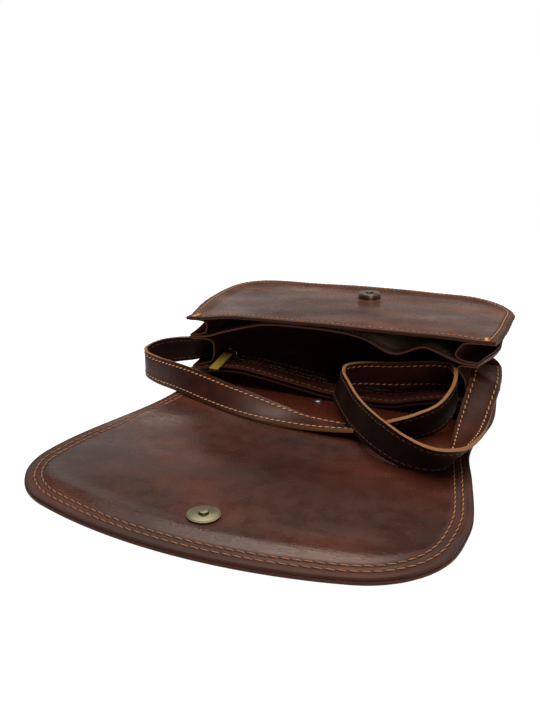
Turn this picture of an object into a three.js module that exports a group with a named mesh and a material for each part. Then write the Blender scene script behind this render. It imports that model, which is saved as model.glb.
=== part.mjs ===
// A leather crossbody bag lying open on its back: millimetres, +Z up.
// The origin is the middle of the back panel, on the surface that the bag lies on.
// -Y is towards the mouth and the open flap, +Y towards the bag's bottom.
import * as THREE from 'three';
import { mergeVertices } from 'three/addons/utils/BufferGeometryUtils.js';

// Body
const MOUTH_Y = -51.5;
const BOTTOM_Y = 81.5;
const HINGE_Y = -82;
const MOUTH_HALF_WIDTH = 113.5;
const BODY_HALF_WIDTH = 118;
const WIDEST_Y = 20;
const BODY_CORNER_RADIUS = 48;
const BODY_CORNER_Y = BOTTOM_Y - BODY_CORNER_RADIUS;

// Flap
const FLAP_END_Y = -267.2;
const FLAP_HALF_WIDTH = 126.9;
const NECK_HALF_WIDTH = 109.6;
const FLAP_CORNER_RADIUS = 54.6;
const FLAP_CORNER_Y = -202.2;
const FLAP_END_RADIUS = 312;
const FLAP_DOME = 2.4;
const FLAP_DOME_Y = -205;
const FLAP_DOME_REACH = 55;
const FLAP_SIDE_BULGE = 2.2;
const FLAP_BULGE_REACH = 110;
const FLAP_BULGE_ENDS = { hinge: -96, corner: -210, fade: 36 };

// Leather and clearances
const OUTER_THICKNESS = 1.6;
const LINING_THICKNESS = 1.4;
const FRONT_THICKNESS = 2.2;
const LEAF_THICKNESS = 1.3;
const GUSSET_THICKNESS = 1.1;
const SEAM_GAP = 0.4;
const LINING_INSET = 0.6;

// Heights of the layers' middle surfaces, away from the mouth
const FRONT_CROWN_Z = 57.6;
const FRONT_MOUTH_RISE = 1.2;
const FRONT_TILT = 2.6;
const FRONT_SIDE_DROP = 3.5;
const FRONT_LEFT_DROOP = 1.4;
const FRONT_DROOP_REACH = 45;
const FRONT_LIFT_REACH = 30;
const DIVIDER_Z = 40.5;
const POCKET_Z = 14;
const POCKET_LEAF_STEP = 3.4;
const FRONT_LEAN = 4.5;
const LOWER_LEAN = 10;
const LEAN_CHANGE_Z = 42;
const LEAN_CHANGE_SPAN = 14;
const CORNER_TUCK = 10.5;
const CORNER_TUCK_START = { x: 50, z: 43 };
const CORNER_TUCK_REACH = { x: 64, y: 65, z: 13 };

// The dividers' mouth edges, from left to right: height of the middle surface at each crest and dip
const DIVIDER_MOUTH_Y = -49;
const DIVIDER_MOUTH = [
  { x: -114, z: 36.4 }, { x: -98, z: 39 }, { x: -88, z: 42.8 }, { x: -73, z: 47.6 }, { x: -52, z: 53.2 },
  { x: -24, z: 54.8 }, { x: 6, z: 54.6 }, { x: 26, z: 51.5 }, { x: 46, z: 43.8 }, { x: 66.5, z: 51 },
  { x: 76.5, z: 49.3 }, { x: 91.5, z: 45.6 }, { x: 103, z: 43.3 }, { x: 114, z: 43 },
];
const POCKET_MOUTH_Y = -52;
const POCKET_MOUTH = [
  { x: -114, z: 11.6 }, { x: -101, z: 14.7 }, { x: -84, z: 17.4 }, { x: -68, z: 17.8 }, { x: -56, z: 16.6 },
  { x: -42, z: 14.8 }, { x: -22, z: 12 }, { x: -2, z: 9.4 }, { x: 16, z: 8.5 }, { x: 36, z: 8.4 },
  { x: 50, z: 9.8 }, { x: 60, z: 12.8 }, { x: 72, z: 15.9 }, { x: 83, z: 18 }, { x: 92, z: 18 },
  { x: 104, z: 19.4 }, { x: 114, z: 20 },
];
const DIVIDER_WAVE_REACH = 70;
const POCKET_WAVE_REACH = 95;

// Gussets: how far each fold goes in at the left, along the bottom and at the right
const GUSSET_MOUTH_Y = -48;
const GUSSET_EDGE_INSET = 0.9;
const GUSSET_FOLDS = {
  front_gusset: { left: 14, bottom: 15, right: 22 },
  middle_gusset: { left: 19, bottom: 16, right: 17 },
  rear_gusset: { left: 15, bottom: 13, right: 14 },
};
// One fold from its upper edge to its lower one: share of the depth, and share of the half height
const FOLD_SECTION = [
  { depth: 0, height: 1 }, { depth: 0.25, height: 1 }, { depth: 0.5, height: 0.98 },
  { depth: 0.75, height: 0.91 }, { depth: 0.93, height: 0.7 }, { depth: 1, height: 0.28 },
  { depth: 1, height: -0.28 }, { depth: 0.93, height: -0.7 }, { depth: 0.75, height: -0.91 },
  { depth: 0.5, height: -0.98 }, { depth: 0.25, height: -1 }, { depth: 0, height: -1 },
];

// Zip in the pocket's upper leaf
const ZIP_Y = -29;
const ZIP_SLOT_WIDTH = 8;
const ZIP_HALF_LENGTH = 96;
const TAPE_WIDTH = 24;
const TAPE_THICKNESS = 0.7;
const TAPE_END_MARGIN = 6;
const CHAIN_WIDTH = 5;
const CHAIN_THICKNESS = 1.6;
const CHAIN_END_MARGIN = 5;
const SLIDER_X = -86.5;
const SLIDER_SIZE = { length: 9, width: 7, height: 6, corner: 2.4 };
const PULL_SIZE = { length: 23.7, width: 7.5, thickness: 1.2, corner: 1.6 };
const PULL_LINK = 4.2;
const PULL_CLEARANCE = 1;
const PULL_TURN = 0.02;
const PULL_SHIFT = -1.5;

// Snaps and rivet
const SNAP_RADIUS = 9;
const SNAP_RIM = 0.4;
const STUD_BASE_HEIGHT = 1.3;
const STUD_POST_RADIUS = 2.7;
const STUD_POST_HEIGHT = 2.9;
const STUD_PLACE = { x: 2, y: -235.5 };
const SOCKET_HEIGHT = 4;
const SOCKET_HOLE_RADIUS = 3.5;
const SOCKET_FLOOR = 1;
const SOCKET_PLACE = { x: -0.5, y: 43 };
const RIVET_RADIUS = 3.4;
const RIVET_HEIGHT = 1.5;
const RIVET_EDGE = 0.4;
const RIVET_SHOULDER = 0.75;
const RIVET_PLACE = { x: -5, y: -56 };

// Strap: its middle line from the left gusset to the right one, and how far its upper-left edge leans:
// 90 stands on edge, 0 lies flat, -90 stands on its other edge
const STRAP_WIDTH = 20;
const STRAP_THICKNESS = 2.4;
const STRAP_EDGE_ROUND = 0.7;
const STRAP_STEPS = 78;
const STRAP_ROUTE = [
  { x: -112, y: -4, z: 25.8, lean: 66 }, { x: -109.5, y: -31, z: 25.4, lean: 68 },
  { x: -116, y: -37, z: 24.5, lean: 75 }, { x: -131, y: -38.5, z: 21.8, lean: 85 },
  { x: -143.4, y: -40.3, z: 18.8, lean: 89 }, { x: -150.4, y: -44.6, z: 16, lean: 90 },
  { x: -152.8, y: -51, z: 14, lean: 90 }, { x: -149.2, y: -57.4, z: 13, lean: 89 },
  { x: -134, y: -66, z: 12.4, lean: 80 }, { x: -104, y: -79, z: 13.6, lean: 68 },
  { x: -49, y: -97.5, z: 10.8, lean: 40 }, { x: 0, y: -103, z: 6.8, lean: 2 },
  { x: 40, y: -102.5, z: 7.8, lean: -15 }, { x: 52, y: -103, z: 9.2, lean: -26 },
  { x: 65, y: -102.5, z: 12.4, lean: -58 }, { x: 77, y: -94, z: 13.6, lean: -78 },
  { x: 87, y: -80.5, z: 16.4, lean: -86 }, { x: 91.5, y: -66, z: 22.9, lean: -90 },
  { x: 91, y: -54.5, z: 28.7, lean: -93 }, { x: 87.6, y: -44.5, z: 29.5, lean: -96 },
  { x: 82.5, y: -36.5, z: 29, lean: -98 }, { x: 73, y: -32.5, z: 27.9, lean: -100 },
  { x: 45, y: -37, z: 24.8, lean: -100 }, { x: 22, y: -46, z: 24.8, lean: -104 },
  { x: 13, y: -54.5, z: 24.4, lean: -107 }, { x: 13, y: -64, z: 22.6, lean: -108 },
  { x: 22.5, y: -80, z: 20.2, lean: -108 }, { x: 40.5, y: -107, z: 19, lean: -106 },
  { x: 63, y: -128.5, z: 16.6, lean: -102 }, { x: 81, y: -137.5, z: 14, lean: -86 },
  { x: 97, y: -139, z: 13, lean: -64 }, { x: 106, y: -130, z: 12, lean: -54 },
  { x: 108, y: -106, z: 11.4, lean: -34 }, { x: 107, y: -79, z: 13.4, lean: -10 },
  { x: 107, y: -65, z: 18.4, lean: 0 }, { x: 107.8, y: -54.5, z: 25.6, lean: 6 },
  { x: 108.4, y: -48, z: 31.2, lean: 9 }, { x: 108, y: -42, z: 33.7, lean: 9 },
  { x: 107, y: -36, z: 35.9, lean: 8 }, { x: 105.5, y: -29, z: 37.1, lean: 6 },
];

const LEATHER = { color: 0x3d1d12, roughness: 0.36, metalness: 0 };
const DARK_LEATHER = { color: 0x2c1510, roughness: 0.5, metalness: 0 };
const LINING_LEATHER = { color: 0x4a2416, roughness: 0.34, metalness: 0 };
const BRASS = { color: 0x8d7c4c, roughness: 0.38, metalness: 0.9 };
const BRONZE = { color: 0x5c4d3a, roughness: 0.42, metalness: 0.9 };
const STEEL = { color: 0xb9b6ae, roughness: 0.25, metalness: 1 };
const ZIP_CLOTH = { color: 0x2a1a14, roughness: 0.9, metalness: 0 };

// How finely the walls are divided
const FLAP_ROWS = [-232, -222, -211, -198, -180, -160, -135, -108];
const NECK_ROW = -66;
const BODY_SIDE_ROWS = 6;
const BODY_CORNER_ROW = 52;
const DIVIDER_ROWS = [-40, -28, -14];
const POCKET_ROWS = { strip: -43, behindZip: -14 };
const LOWER_LEAF_ROWS = [-38, -20];
const COLUMNS = { back: 12, front: 16, divider: 32, pocket: 24, lowerLeaf: 18, zip: 20 };
const GUSSET_STEPS = { side: 6, corner: 5, bottom: 5 };
const SNAP_SIDES = 24;
const RIVET_SIDES = 16;
const ARC_STEPS = 4;

const bag = new THREE.Group();

function addMesh(name, geometry, finish) {
  const mesh = new THREE.Mesh(geometry, new THREE.MeshStandardMaterial(finish));
  mesh.name = name;
  bag.add(mesh);
  return mesh;
}

const clamp01 = (t) => Math.min(1, Math.max(0, t));
const smooth = (t) => clamp01(t) ** 2 * (3 - 2 * clamp01(t));
function spaced(start, end, steps) {
  return Array.from({ length: steps + 1 }, (_, i) => start + ((end - start) * i) / steps);
}

// Height at x on a smooth curve through the rows of a mouth's table
function mouthHeight(table, x) {
  const last = table.length - 1;
  let row = 0;
  while (row < last - 1 && x > table[row + 1].x) row += 1;
  const slope = (i) => {
    const before = table[Math.max(0, i - 1)];
    const after = table[Math.min(last, i + 1)];
    return (after.z - before.z) / (after.x - before.x);
  };
  const span = table[row + 1].x - table[row].x;
  const t = clamp01((x - table[row].x) / span);
  const bend = smooth(t);
  const leave = t * (1 - t) ** 2 * span * slope(row);
  const arrive = t * t * (1 - t) * span * slope(row + 1);
  return table[row].z + (table[row + 1].z - table[row].z) * bend + leave - arrive;
}

// Middle surfaces of the layers
function flapDome(x, y) {
  const across = clamp01(1 - (x / FLAP_HALF_WIDTH) ** 2);
  const along = clamp01(1 - ((y - FLAP_DOME_Y) / FLAP_DOME_REACH) ** 2);
  return FLAP_DOME * smooth(across) * smooth(along);
}
const outerHeight = (x, y) => OUTER_THICKNESS / 2 + flapDome(x, y);
const LINING_STEP = (OUTER_THICKNESS + LINING_THICKNESS) / 2 + SEAM_GAP;
const liningHeight = (x, y) => outerHeight(x, y) + LINING_STEP;
const liningTop = (x, y) => liningHeight(x, y) + LINING_THICKNESS / 2;

function frontHeight(x, y) {
  const across = x / BODY_HALF_WIDTH;
  const mouth = 1 - smooth((y - MOUTH_Y) / (BOTTOM_Y - MOUTH_Y));
  const corner = smooth(1 - Math.hypot(x + MOUTH_HALF_WIDTH, y - MOUTH_Y) / FRONT_DROOP_REACH);
  const lift = x < 0 ? smooth((y - MOUTH_Y) / FRONT_LIFT_REACH) : 0;
  const crown = FRONT_CROWN_Z - FRONT_SIDE_DROP * (1 - lift) * across ** 6;
  return crown + mouth * (FRONT_MOUTH_RISE + FRONT_TILT * across) - FRONT_LEFT_DROOP * corner;
}

function dividerHeight(x, y) {
  const fade = 1 - smooth((y - DIVIDER_MOUTH_Y) / DIVIDER_WAVE_REACH);
  return DIVIDER_Z + (mouthHeight(DIVIDER_MOUTH, x) - DIVIDER_Z) * fade;
}

function pocketHeight(x, y) {
  const fade = 1 - smooth((y - POCKET_MOUTH_Y) / POCKET_WAVE_REACH);
  return POCKET_Z + (mouthHeight(POCKET_MOUTH, x) - POCKET_Z) * fade;
}
const lowerLeafHeight = (x, y) => pocketHeight(x, y) - POCKET_LEAF_STEP;

// The body leans to the left towards its bottom, the front panel less than the layers under it, the
// divider's right corner is drawn in at the mouth, where the folds of the gussets are pinched, and the
// flap's right side bulges
function leanAt(x, y, z) {
  const downBag = smooth((y - MOUTH_Y) / (BODY_CORNER_Y - MOUTH_Y));
  const lean = LOWER_LEAN + (FRONT_LEAN - LOWER_LEAN) * smooth((z - LEAN_CHANGE_Z) / LEAN_CHANGE_SPAN);
  const right = smooth((x - CORNER_TUCK_START.x) / CORNER_TUCK_REACH.x);
  const mouth = 1 - smooth((y - MOUTH_Y) / CORNER_TUCK_REACH.y);
  const level = smooth(1 - Math.abs(z - CORNER_TUCK_START.z) / CORNER_TUCK_REACH.z);
  const { hinge, corner, fade } = FLAP_BULGE_ENDS;
  const onFlap = smooth((hinge - y) / fade) * smooth((y - corner) / fade);
  const bulge = FLAP_SIDE_BULGE * smooth(x / FLAP_BULGE_REACH) * onFlap;
  return bulge - lean * downBag - CORNER_TUCK * right * mouth * level;
}

// Outline: half width at each y, from the flap's corners to the body's
function halfWidth(y) {
  if (y < FLAP_CORNER_Y) {
    const drop = y - FLAP_CORNER_Y;
    return FLAP_HALF_WIDTH - FLAP_CORNER_RADIUS + Math.sqrt(FLAP_CORNER_RADIUS ** 2 - drop ** 2);
  }
  if (y < HINGE_Y) {
    const turn = (Math.PI * (y - FLAP_CORNER_Y)) / (HINGE_Y - FLAP_CORNER_Y);
    const narrowing = (FLAP_HALF_WIDTH - NECK_HALF_WIDTH) / 2;
    return NECK_HALF_WIDTH + narrowing * (1 + Math.cos(turn));
  }
  if (y < MOUTH_Y) {
    const widening = MOUTH_HALF_WIDTH - NECK_HALF_WIDTH;
    return NECK_HALF_WIDTH + widening * smooth((y - HINGE_Y) / (MOUTH_Y - HINGE_Y));
  }
  if (y < BODY_CORNER_Y) {
    const away = (y - WIDEST_Y) / (MOUTH_Y - WIDEST_Y);
    return BODY_HALF_WIDTH - (BODY_HALF_WIDTH - MOUTH_HALF_WIDTH) * away ** 2;
  }
  const drop = y - BODY_CORNER_Y;
  return BODY_HALF_WIDTH - BODY_CORNER_RADIUS + Math.sqrt(BODY_CORNER_RADIUS ** 2 - drop ** 2);
}

// The two rounded ends, each between the middles of its corners
const CORNER_HALF = Math.SQRT1_2;
const BOTTOM_SIDE_Y = BODY_CORNER_Y + BODY_CORNER_RADIUS * CORNER_HALF;
const FLAP_SIDE_Y = FLAP_CORNER_Y - FLAP_CORNER_RADIUS * CORNER_HALF;

function bottomEdge(x) {
  const past = Math.abs(x) - (BODY_HALF_WIDTH - BODY_CORNER_RADIUS);
  if (past <= 0) return BOTTOM_Y;
  return BODY_CORNER_Y + Math.sqrt(BODY_CORNER_RADIUS ** 2 - past ** 2);
}

function flapEdge(x) {
  const cornerX = FLAP_HALF_WIDTH - FLAP_CORNER_RADIUS;
  const endCentreY = FLAP_END_Y + FLAP_END_RADIUS;
  const meetX = (cornerX * FLAP_END_RADIUS) / (FLAP_END_RADIUS - FLAP_CORNER_RADIUS);
  if (Math.abs(x) < meetX) return endCentreY - Math.sqrt(FLAP_END_RADIUS ** 2 - x ** 2);
  return FLAP_CORNER_Y - Math.sqrt(FLAP_CORNER_RADIUS ** 2 - (Math.abs(x) - cornerX) ** 2);
}

// A row of a panel: straight across in the middle of the bag, bowed along its ends
const BOW_REACH = 60;
function panelPoint(across, sideY, inset, height) {
  const x = across * (halfWidth(sideY) - inset);
  const bottomBow = smooth((sideY - BOTTOM_SIDE_Y + BOW_REACH) / BOW_REACH);
  const flapBow = smooth((FLAP_SIDE_Y + BOW_REACH - sideY) / BOW_REACH);
  const bottomRoom = bottomEdge(across * halfWidth(BOTTOM_SIDE_Y)) - BOTTOM_SIDE_Y - inset;
  const flapRoom = flapEdge(across * halfWidth(FLAP_SIDE_Y)) - FLAP_SIDE_Y + inset;
  const y = sideY + bottomBow * Math.max(0, bottomRoom) + flapBow * Math.min(0, flapRoom);
  const z = height(x, y);
  return new THREE.Vector3(x + leanAt(x, y, z), y, z);
}

function panelGrid(sideYs, columns, height, inset = 0) {
  const shares = spaced(-1, 1, columns);
  return sideYs.map((sideY) => shares.map((across) => panelPoint(across, sideY, inset, height)));
}

// A closed wall of even thickness around a grid of points on its middle surface
function wall(grid, thickness, keep = () => true) {
  const rows = grid.length;
  const columns = grid[0].length;
  const positions = [];
  for (const side of [1, -1]) {
    for (let r = 0; r < rows; r += 1) {
      for (let c = 0; c < columns; c += 1) {
        const alongRow = grid[r][Math.min(c + 1, columns - 1)].clone().sub(grid[r][Math.max(c - 1, 0)]);
        const acrossRows = grid[Math.min(r + 1, rows - 1)][c].clone().sub(grid[Math.max(r - 1, 0)][c]);
        const normal = alongRow.cross(acrossRows).normalize();
        positions.push(...grid[r][c].clone().addScaledVector(normal, (side * thickness) / 2).toArray());
      }
    }
  }
  const kept = (r, c) => r >= 0 && c >= 0 && r < rows - 1 && c < columns - 1 && keep(r, c);
  const under = rows * columns;
  const indices = [];
  const quad = (a, b, c, d) => indices.push(a, b, c, a, c, d);
  for (let r = 0; r < rows - 1; r += 1) {
    for (let c = 0; c < columns - 1; c += 1) {
      if (kept(r, c)) {
        const corners = [[r, c], [r, c + 1], [r + 1, c + 1], [r + 1, c]].map(([i, j]) => i * columns + j);
        const beside = [[r - 1, c], [r, c + 1], [r + 1, c], [r, c - 1]];
        quad(...corners);
        quad(...corners.map((k) => k + under).reverse());
        beside.forEach(([i, j], edge) => {
          const from = corners[edge];
          const to = corners[(edge + 1) % 4];
          if (!kept(i, j)) quad(to, from, from + under, to + under);
        });
      }
    }
  }
  const geometry = new THREE.BufferGeometry();
  geometry.setAttribute('position', new THREE.Float32BufferAttribute(positions, 3));
  geometry.setIndex(indices);
  return tidy(geometry);
}

// Only the points that faces use, with coincident ones joined
function tidy(geometry) {
  const bare = geometry.index ? geometry.toNonIndexed() : geometry.clone();
  for (const name of ['normal', 'uv']) bare.deleteAttribute(name);
  const merged = mergeVertices(bare, 1e-4);
  merged.computeVertexNormals();
  return merged;
}

// Panels: the back and flap, its lining, the front, and the leaves between them
function buildPanels() {
  const sideRows = spaced(MOUTH_Y, BODY_CORNER_Y, BODY_SIDE_ROWS);
  const bodyRows = [...sideRows, BODY_CORNER_ROW, BOTTOM_SIDE_Y];
  const deepRows = bodyRows.slice(BODY_SIDE_ROWS / 2);
  const wholeRows = [FLAP_SIDE_Y, ...FLAP_ROWS, HINGE_Y, NECK_ROW, ...bodyRows];
  const outer = panelGrid(wholeRows, COLUMNS.back, outerHeight);
  addMesh('outer_leather', wall(outer, OUTER_THICKNESS), LEATHER);
  const lining = panelGrid(wholeRows, COLUMNS.back, liningHeight, LINING_INSET);
  addMesh('flap_lining', wall(lining, LINING_THICKNESS), LINING_LEATHER);
  const front = panelGrid(bodyRows, COLUMNS.front, frontHeight);
  addMesh('front_panel', wall(front, FRONT_THICKNESS), LEATHER);
  const dividerRows = [DIVIDER_MOUTH_Y, ...DIVIDER_ROWS, ...deepRows];
  const divider = panelGrid(dividerRows, COLUMNS.divider, dividerHeight);
  addMesh('front_divider', wall(divider, LEAF_THICKNESS), DARK_LEATHER);

  const slot = [ZIP_Y - ZIP_SLOT_WIDTH / 2, ZIP_Y + ZIP_SLOT_WIDTH / 2];
  const pocketRows = [POCKET_MOUTH_Y, POCKET_ROWS.strip, ...slot, POCKET_ROWS.behindZip, ...deepRows];
  const slotRow = pocketRows.indexOf(slot[0]);
  const slotShare = ZIP_HALF_LENGTH / halfWidth(ZIP_Y);
  const endColumns = Math.round((COLUMNS.pocket * (1 - slotShare)) / 2);
  const solid = (r, c) => r !== slotRow || c < endColumns || c >= COLUMNS.pocket - endColumns;
  const pocket = panelGrid(pocketRows, COLUMNS.pocket, pocketHeight);
  addMesh('zip_pocket_upper', wall(pocket, LEAF_THICKNESS, solid), LEATHER);
  const lowerRows = [POCKET_MOUTH_Y, ...LOWER_LEAF_ROWS, ...deepRows];
  const lowerLeaf = panelGrid(lowerRows, COLUMNS.lowerLeaf, lowerLeafHeight);
  addMesh('zip_pocket_lower', wall(lowerLeaf, LEAF_THICKNESS), DARK_LEATHER);
}

// The body's outline from the left of the mouth round the bottom to the right, with its way inwards
function gussetPath() {
  const sides = spaced(GUSSET_MOUTH_Y, BODY_CORNER_Y, GUSSET_STEPS.side);
  const turns = spaced(0, Math.PI / 2, GUSSET_STEPS.corner);
  const cornerX = BODY_HALF_WIDTH - BODY_CORNER_RADIUS;
  const left = sides.map((y) => ({ x: -halfWidth(y), y, inX: 1, inY: 0, side: 'left' }));
  const corner = turns.slice(1).map((turn) => ({
    x: -cornerX - BODY_CORNER_RADIUS * Math.cos(turn),
    y: BODY_CORNER_Y + BODY_CORNER_RADIUS * Math.sin(turn),
    inX: Math.cos(turn),
    inY: -Math.sin(turn),
    side: 'left',
  }));
  const bottom = spaced(-cornerX, cornerX, GUSSET_STEPS.bottom).slice(1, -1);
  const along = bottom.map((x) => ({ x, y: BOTTOM_Y, inX: 0, inY: -1, side: 'bottom' }));
  const half = [...left, ...corner];
  const other = half.map((p) => ({ ...p, x: -p.x, inX: -p.inX, side: 'right' })).reverse();
  return [...half, ...along, ...other];
}

// A gusset between two layers: a strip sewn under the upper one's edge, folded in, and sewn on the lower
function buildGusset(name, lowerTop, upperUnder) {
  const folds = GUSSET_FOLDS[name];
  const room = SEAM_GAP + GUSSET_THICKNESS / 2;
  const grid = gussetPath().map((place) => {
    const downSide = smooth((place.y - GUSSET_MOUTH_Y) / (BOTTOM_Y - GUSSET_MOUTH_Y));
    const sideDepth = place.side === 'bottom' ? folds.bottom : folds[place.side];
    const depth = sideDepth + (folds.bottom - sideDepth) * downSide;
    return FOLD_SECTION.map((step) => {
      const inset = GUSSET_EDGE_INSET + step.depth * depth;
      const x = place.x + place.inX * inset;
      const y = place.y + place.inY * inset;
      const high = upperUnder(x, y) - room;
      const low = lowerTop(x, y) + room;
      const z = (high + low) / 2 + (step.height * (high - low)) / 2;
      return new THREE.Vector3(x + leanAt(x, y, z), y, z);
    });
  });
  addMesh(name, wall(grid, GUSSET_THICKNESS), DARK_LEATHER);
}

function buildGussets() {
  const under = (height, thickness) => (x, y) => height(x, y) - thickness / 2;
  const over = (height, thickness) => (x, y) => height(x, y) + thickness / 2;
  const dividerTop = over(dividerHeight, LEAF_THICKNESS);
  const dividerUnder = under(dividerHeight, LEAF_THICKNESS);
  buildGusset('front_gusset', dividerTop, under(frontHeight, FRONT_THICKNESS));
  buildGusset('middle_gusset', over(pocketHeight, LEAF_THICKNESS), dividerUnder);
  buildGusset('rear_gusset', liningTop, under(lowerLeafHeight, LEAF_THICKNESS));
}

// A strip that follows the pocket's upper leaf along the zip, lower than it by a given step
function zipStrip(width, thickness, halfLength, below) {
  const rows = spaced(ZIP_Y - width / 2, ZIP_Y + width / 2, 2);
  const columns = spaced(-halfLength, halfLength, COLUMNS.zip);
  const grid = rows.map((y) => columns.map((x) => {
    const z = pocketHeight(x, y) - below;
    return new THREE.Vector3(x + leanAt(x, y, z), y, z);
  }));
  return wall(grid, thickness);
}

// A rounded plate lying in XY with its top at z = 0, from x = 0 to its length
function plate(length, width, thickness, radius) {
  const half = width / 2;
  const shape = new THREE.Shape();
  shape.moveTo(radius, -half);
  shape.lineTo(length - radius, -half);
  shape.absarc(length - radius, -half + radius, radius, -Math.PI / 2, 0);
  shape.absarc(length - radius, half - radius, radius, 0, Math.PI / 2);
  shape.lineTo(radius, half);
  shape.absarc(radius, half - radius, radius, Math.PI / 2, Math.PI);
  shape.absarc(radius, -half + radius, radius, Math.PI, 1.5 * Math.PI);
  const solid = { depth: thickness, bevelEnabled: false, curveSegments: ARC_STEPS };
  const geometry = new THREE.ExtrudeGeometry(shape, solid);
  geometry.translate(0, 0, -thickness);
  return tidy(geometry);
}

// Zip: tape under the slot, closed teeth in it, a slider on them, and a pull leaning on the pocket's edge
function buildZip() {
  const tapeBelow = (LEAF_THICKNESS + TAPE_THICKNESS) / 2 + SEAM_GAP;
  const chainBelow = tapeBelow - (TAPE_THICKNESS + CHAIN_THICKNESS) / 2 - SEAM_GAP;
  const tape = zipStrip(TAPE_WIDTH, TAPE_THICKNESS, ZIP_HALF_LENGTH + TAPE_END_MARGIN, tapeBelow);
  addMesh('zip_tape', tape, ZIP_CLOTH);
  const chain = zipStrip(CHAIN_WIDTH, CHAIN_THICKNESS, ZIP_HALF_LENGTH - CHAIN_END_MARGIN, chainBelow);
  addMesh('zip_chain', chain, BRONZE);

  const { length, width, height, corner } = SLIDER_SIZE;
  const sliderZ = pocketHeight(SLIDER_X, ZIP_Y) - chainBelow + CHAIN_THICKNESS / 2 + SEAM_GAP;
  const climb = pocketHeight(SLIDER_X + length / 2, ZIP_Y) - pocketHeight(SLIDER_X - length / 2, ZIP_Y);
  const body = plate(length, width, height, corner);
  body.translate(-length / 2, 0, height);
  const slider = addMesh('zip_slider', body, BRONZE);
  slider.position.set(SLIDER_X, ZIP_Y, sliderZ);
  slider.rotation.y = -Math.atan2(climb, length);

  const tab = plate(PULL_SIZE.length, PULL_SIZE.width, PULL_SIZE.thickness, PULL_SIZE.corner);
  const pull = addMesh('zip_pull', tab, BRASS);
  const pullX = SLIDER_X + PULL_SHIFT;
  pull.position.set(pullX, ZIP_Y - width / 2 - PULL_LINK, sliderZ + height - SEAM_GAP);
  const edgeTop = pocketHeight(pullX, POCKET_MOUTH_Y) + LEAF_THICKNESS / 2;
  const drop = pull.position.z - edgeTop - PULL_SIZE.thickness - PULL_CLEARANCE;
  const fall = Math.atan2(drop, pull.position.y - POCKET_MOUTH_Y);
  pull.rotation.set(0, fall, -Math.PI / 2 - PULL_TURN, 'ZYX');
}

// Turned metal: snaps and rivet
function turned(profile, sides) {
  const points = profile.map(([radius, height]) => new THREE.Vector2(radius, height));
  return tidy(new THREE.LatheGeometry(points, sides).rotateX(Math.PI / 2));
}

function buildSnaps() {
  const studProfile = [
    [0, 0], [SNAP_RADIUS, 0], [SNAP_RADIUS, STUD_BASE_HEIGHT - SNAP_RIM],
    [SNAP_RADIUS - SNAP_RIM, STUD_BASE_HEIGHT], [STUD_POST_RADIUS, STUD_BASE_HEIGHT],
    [STUD_POST_RADIUS, STUD_POST_HEIGHT - SNAP_RIM],
    [STUD_POST_RADIUS - SNAP_RIM, STUD_POST_HEIGHT], [0, STUD_POST_HEIGHT],
  ];
  const stud = addMesh('snap_stud', turned(studProfile, SNAP_SIDES), BRASS);
  const studZ = liningTop(STUD_PLACE.x, STUD_PLACE.y) + SEAM_GAP;
  stud.position.set(STUD_PLACE.x, STUD_PLACE.y, studZ);

  const socketProfile = [
    [0, 0], [SNAP_RADIUS, 0], [SNAP_RADIUS, SOCKET_HEIGHT - 2 * SNAP_RIM],
    [SNAP_RADIUS - 2 * SNAP_RIM, SOCKET_HEIGHT], [SOCKET_HOLE_RADIUS, SOCKET_HEIGHT],
    [SOCKET_HOLE_RADIUS, SOCKET_FLOOR], [0, SOCKET_FLOOR],
  ];
  const socket = addMesh('snap_socket', turned(socketProfile, SNAP_SIDES), BRONZE);
  const frontTop = frontHeight(SOCKET_PLACE.x, SOCKET_PLACE.y) + FRONT_THICKNESS / 2;
  socket.position.set(SOCKET_PLACE.x, SOCKET_PLACE.y, frontTop + SEAM_GAP);

  const rivetProfile = [
    [0, 0], [RIVET_RADIUS, 0], [RIVET_RADIUS, RIVET_EDGE],
    [RIVET_RADIUS * RIVET_SHOULDER, RIVET_HEIGHT * RIVET_SHOULDER], [0, RIVET_HEIGHT],
  ];
  const rivet = addMesh('inner_rivet', turned(rivetProfile, RIVET_SIDES), STEEL);
  const rivetZ = liningTop(RIVET_PLACE.x, RIVET_PLACE.y) + SEAM_GAP;
  rivet.position.set(RIVET_PLACE.x, RIVET_PLACE.y, rivetZ);
}

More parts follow.
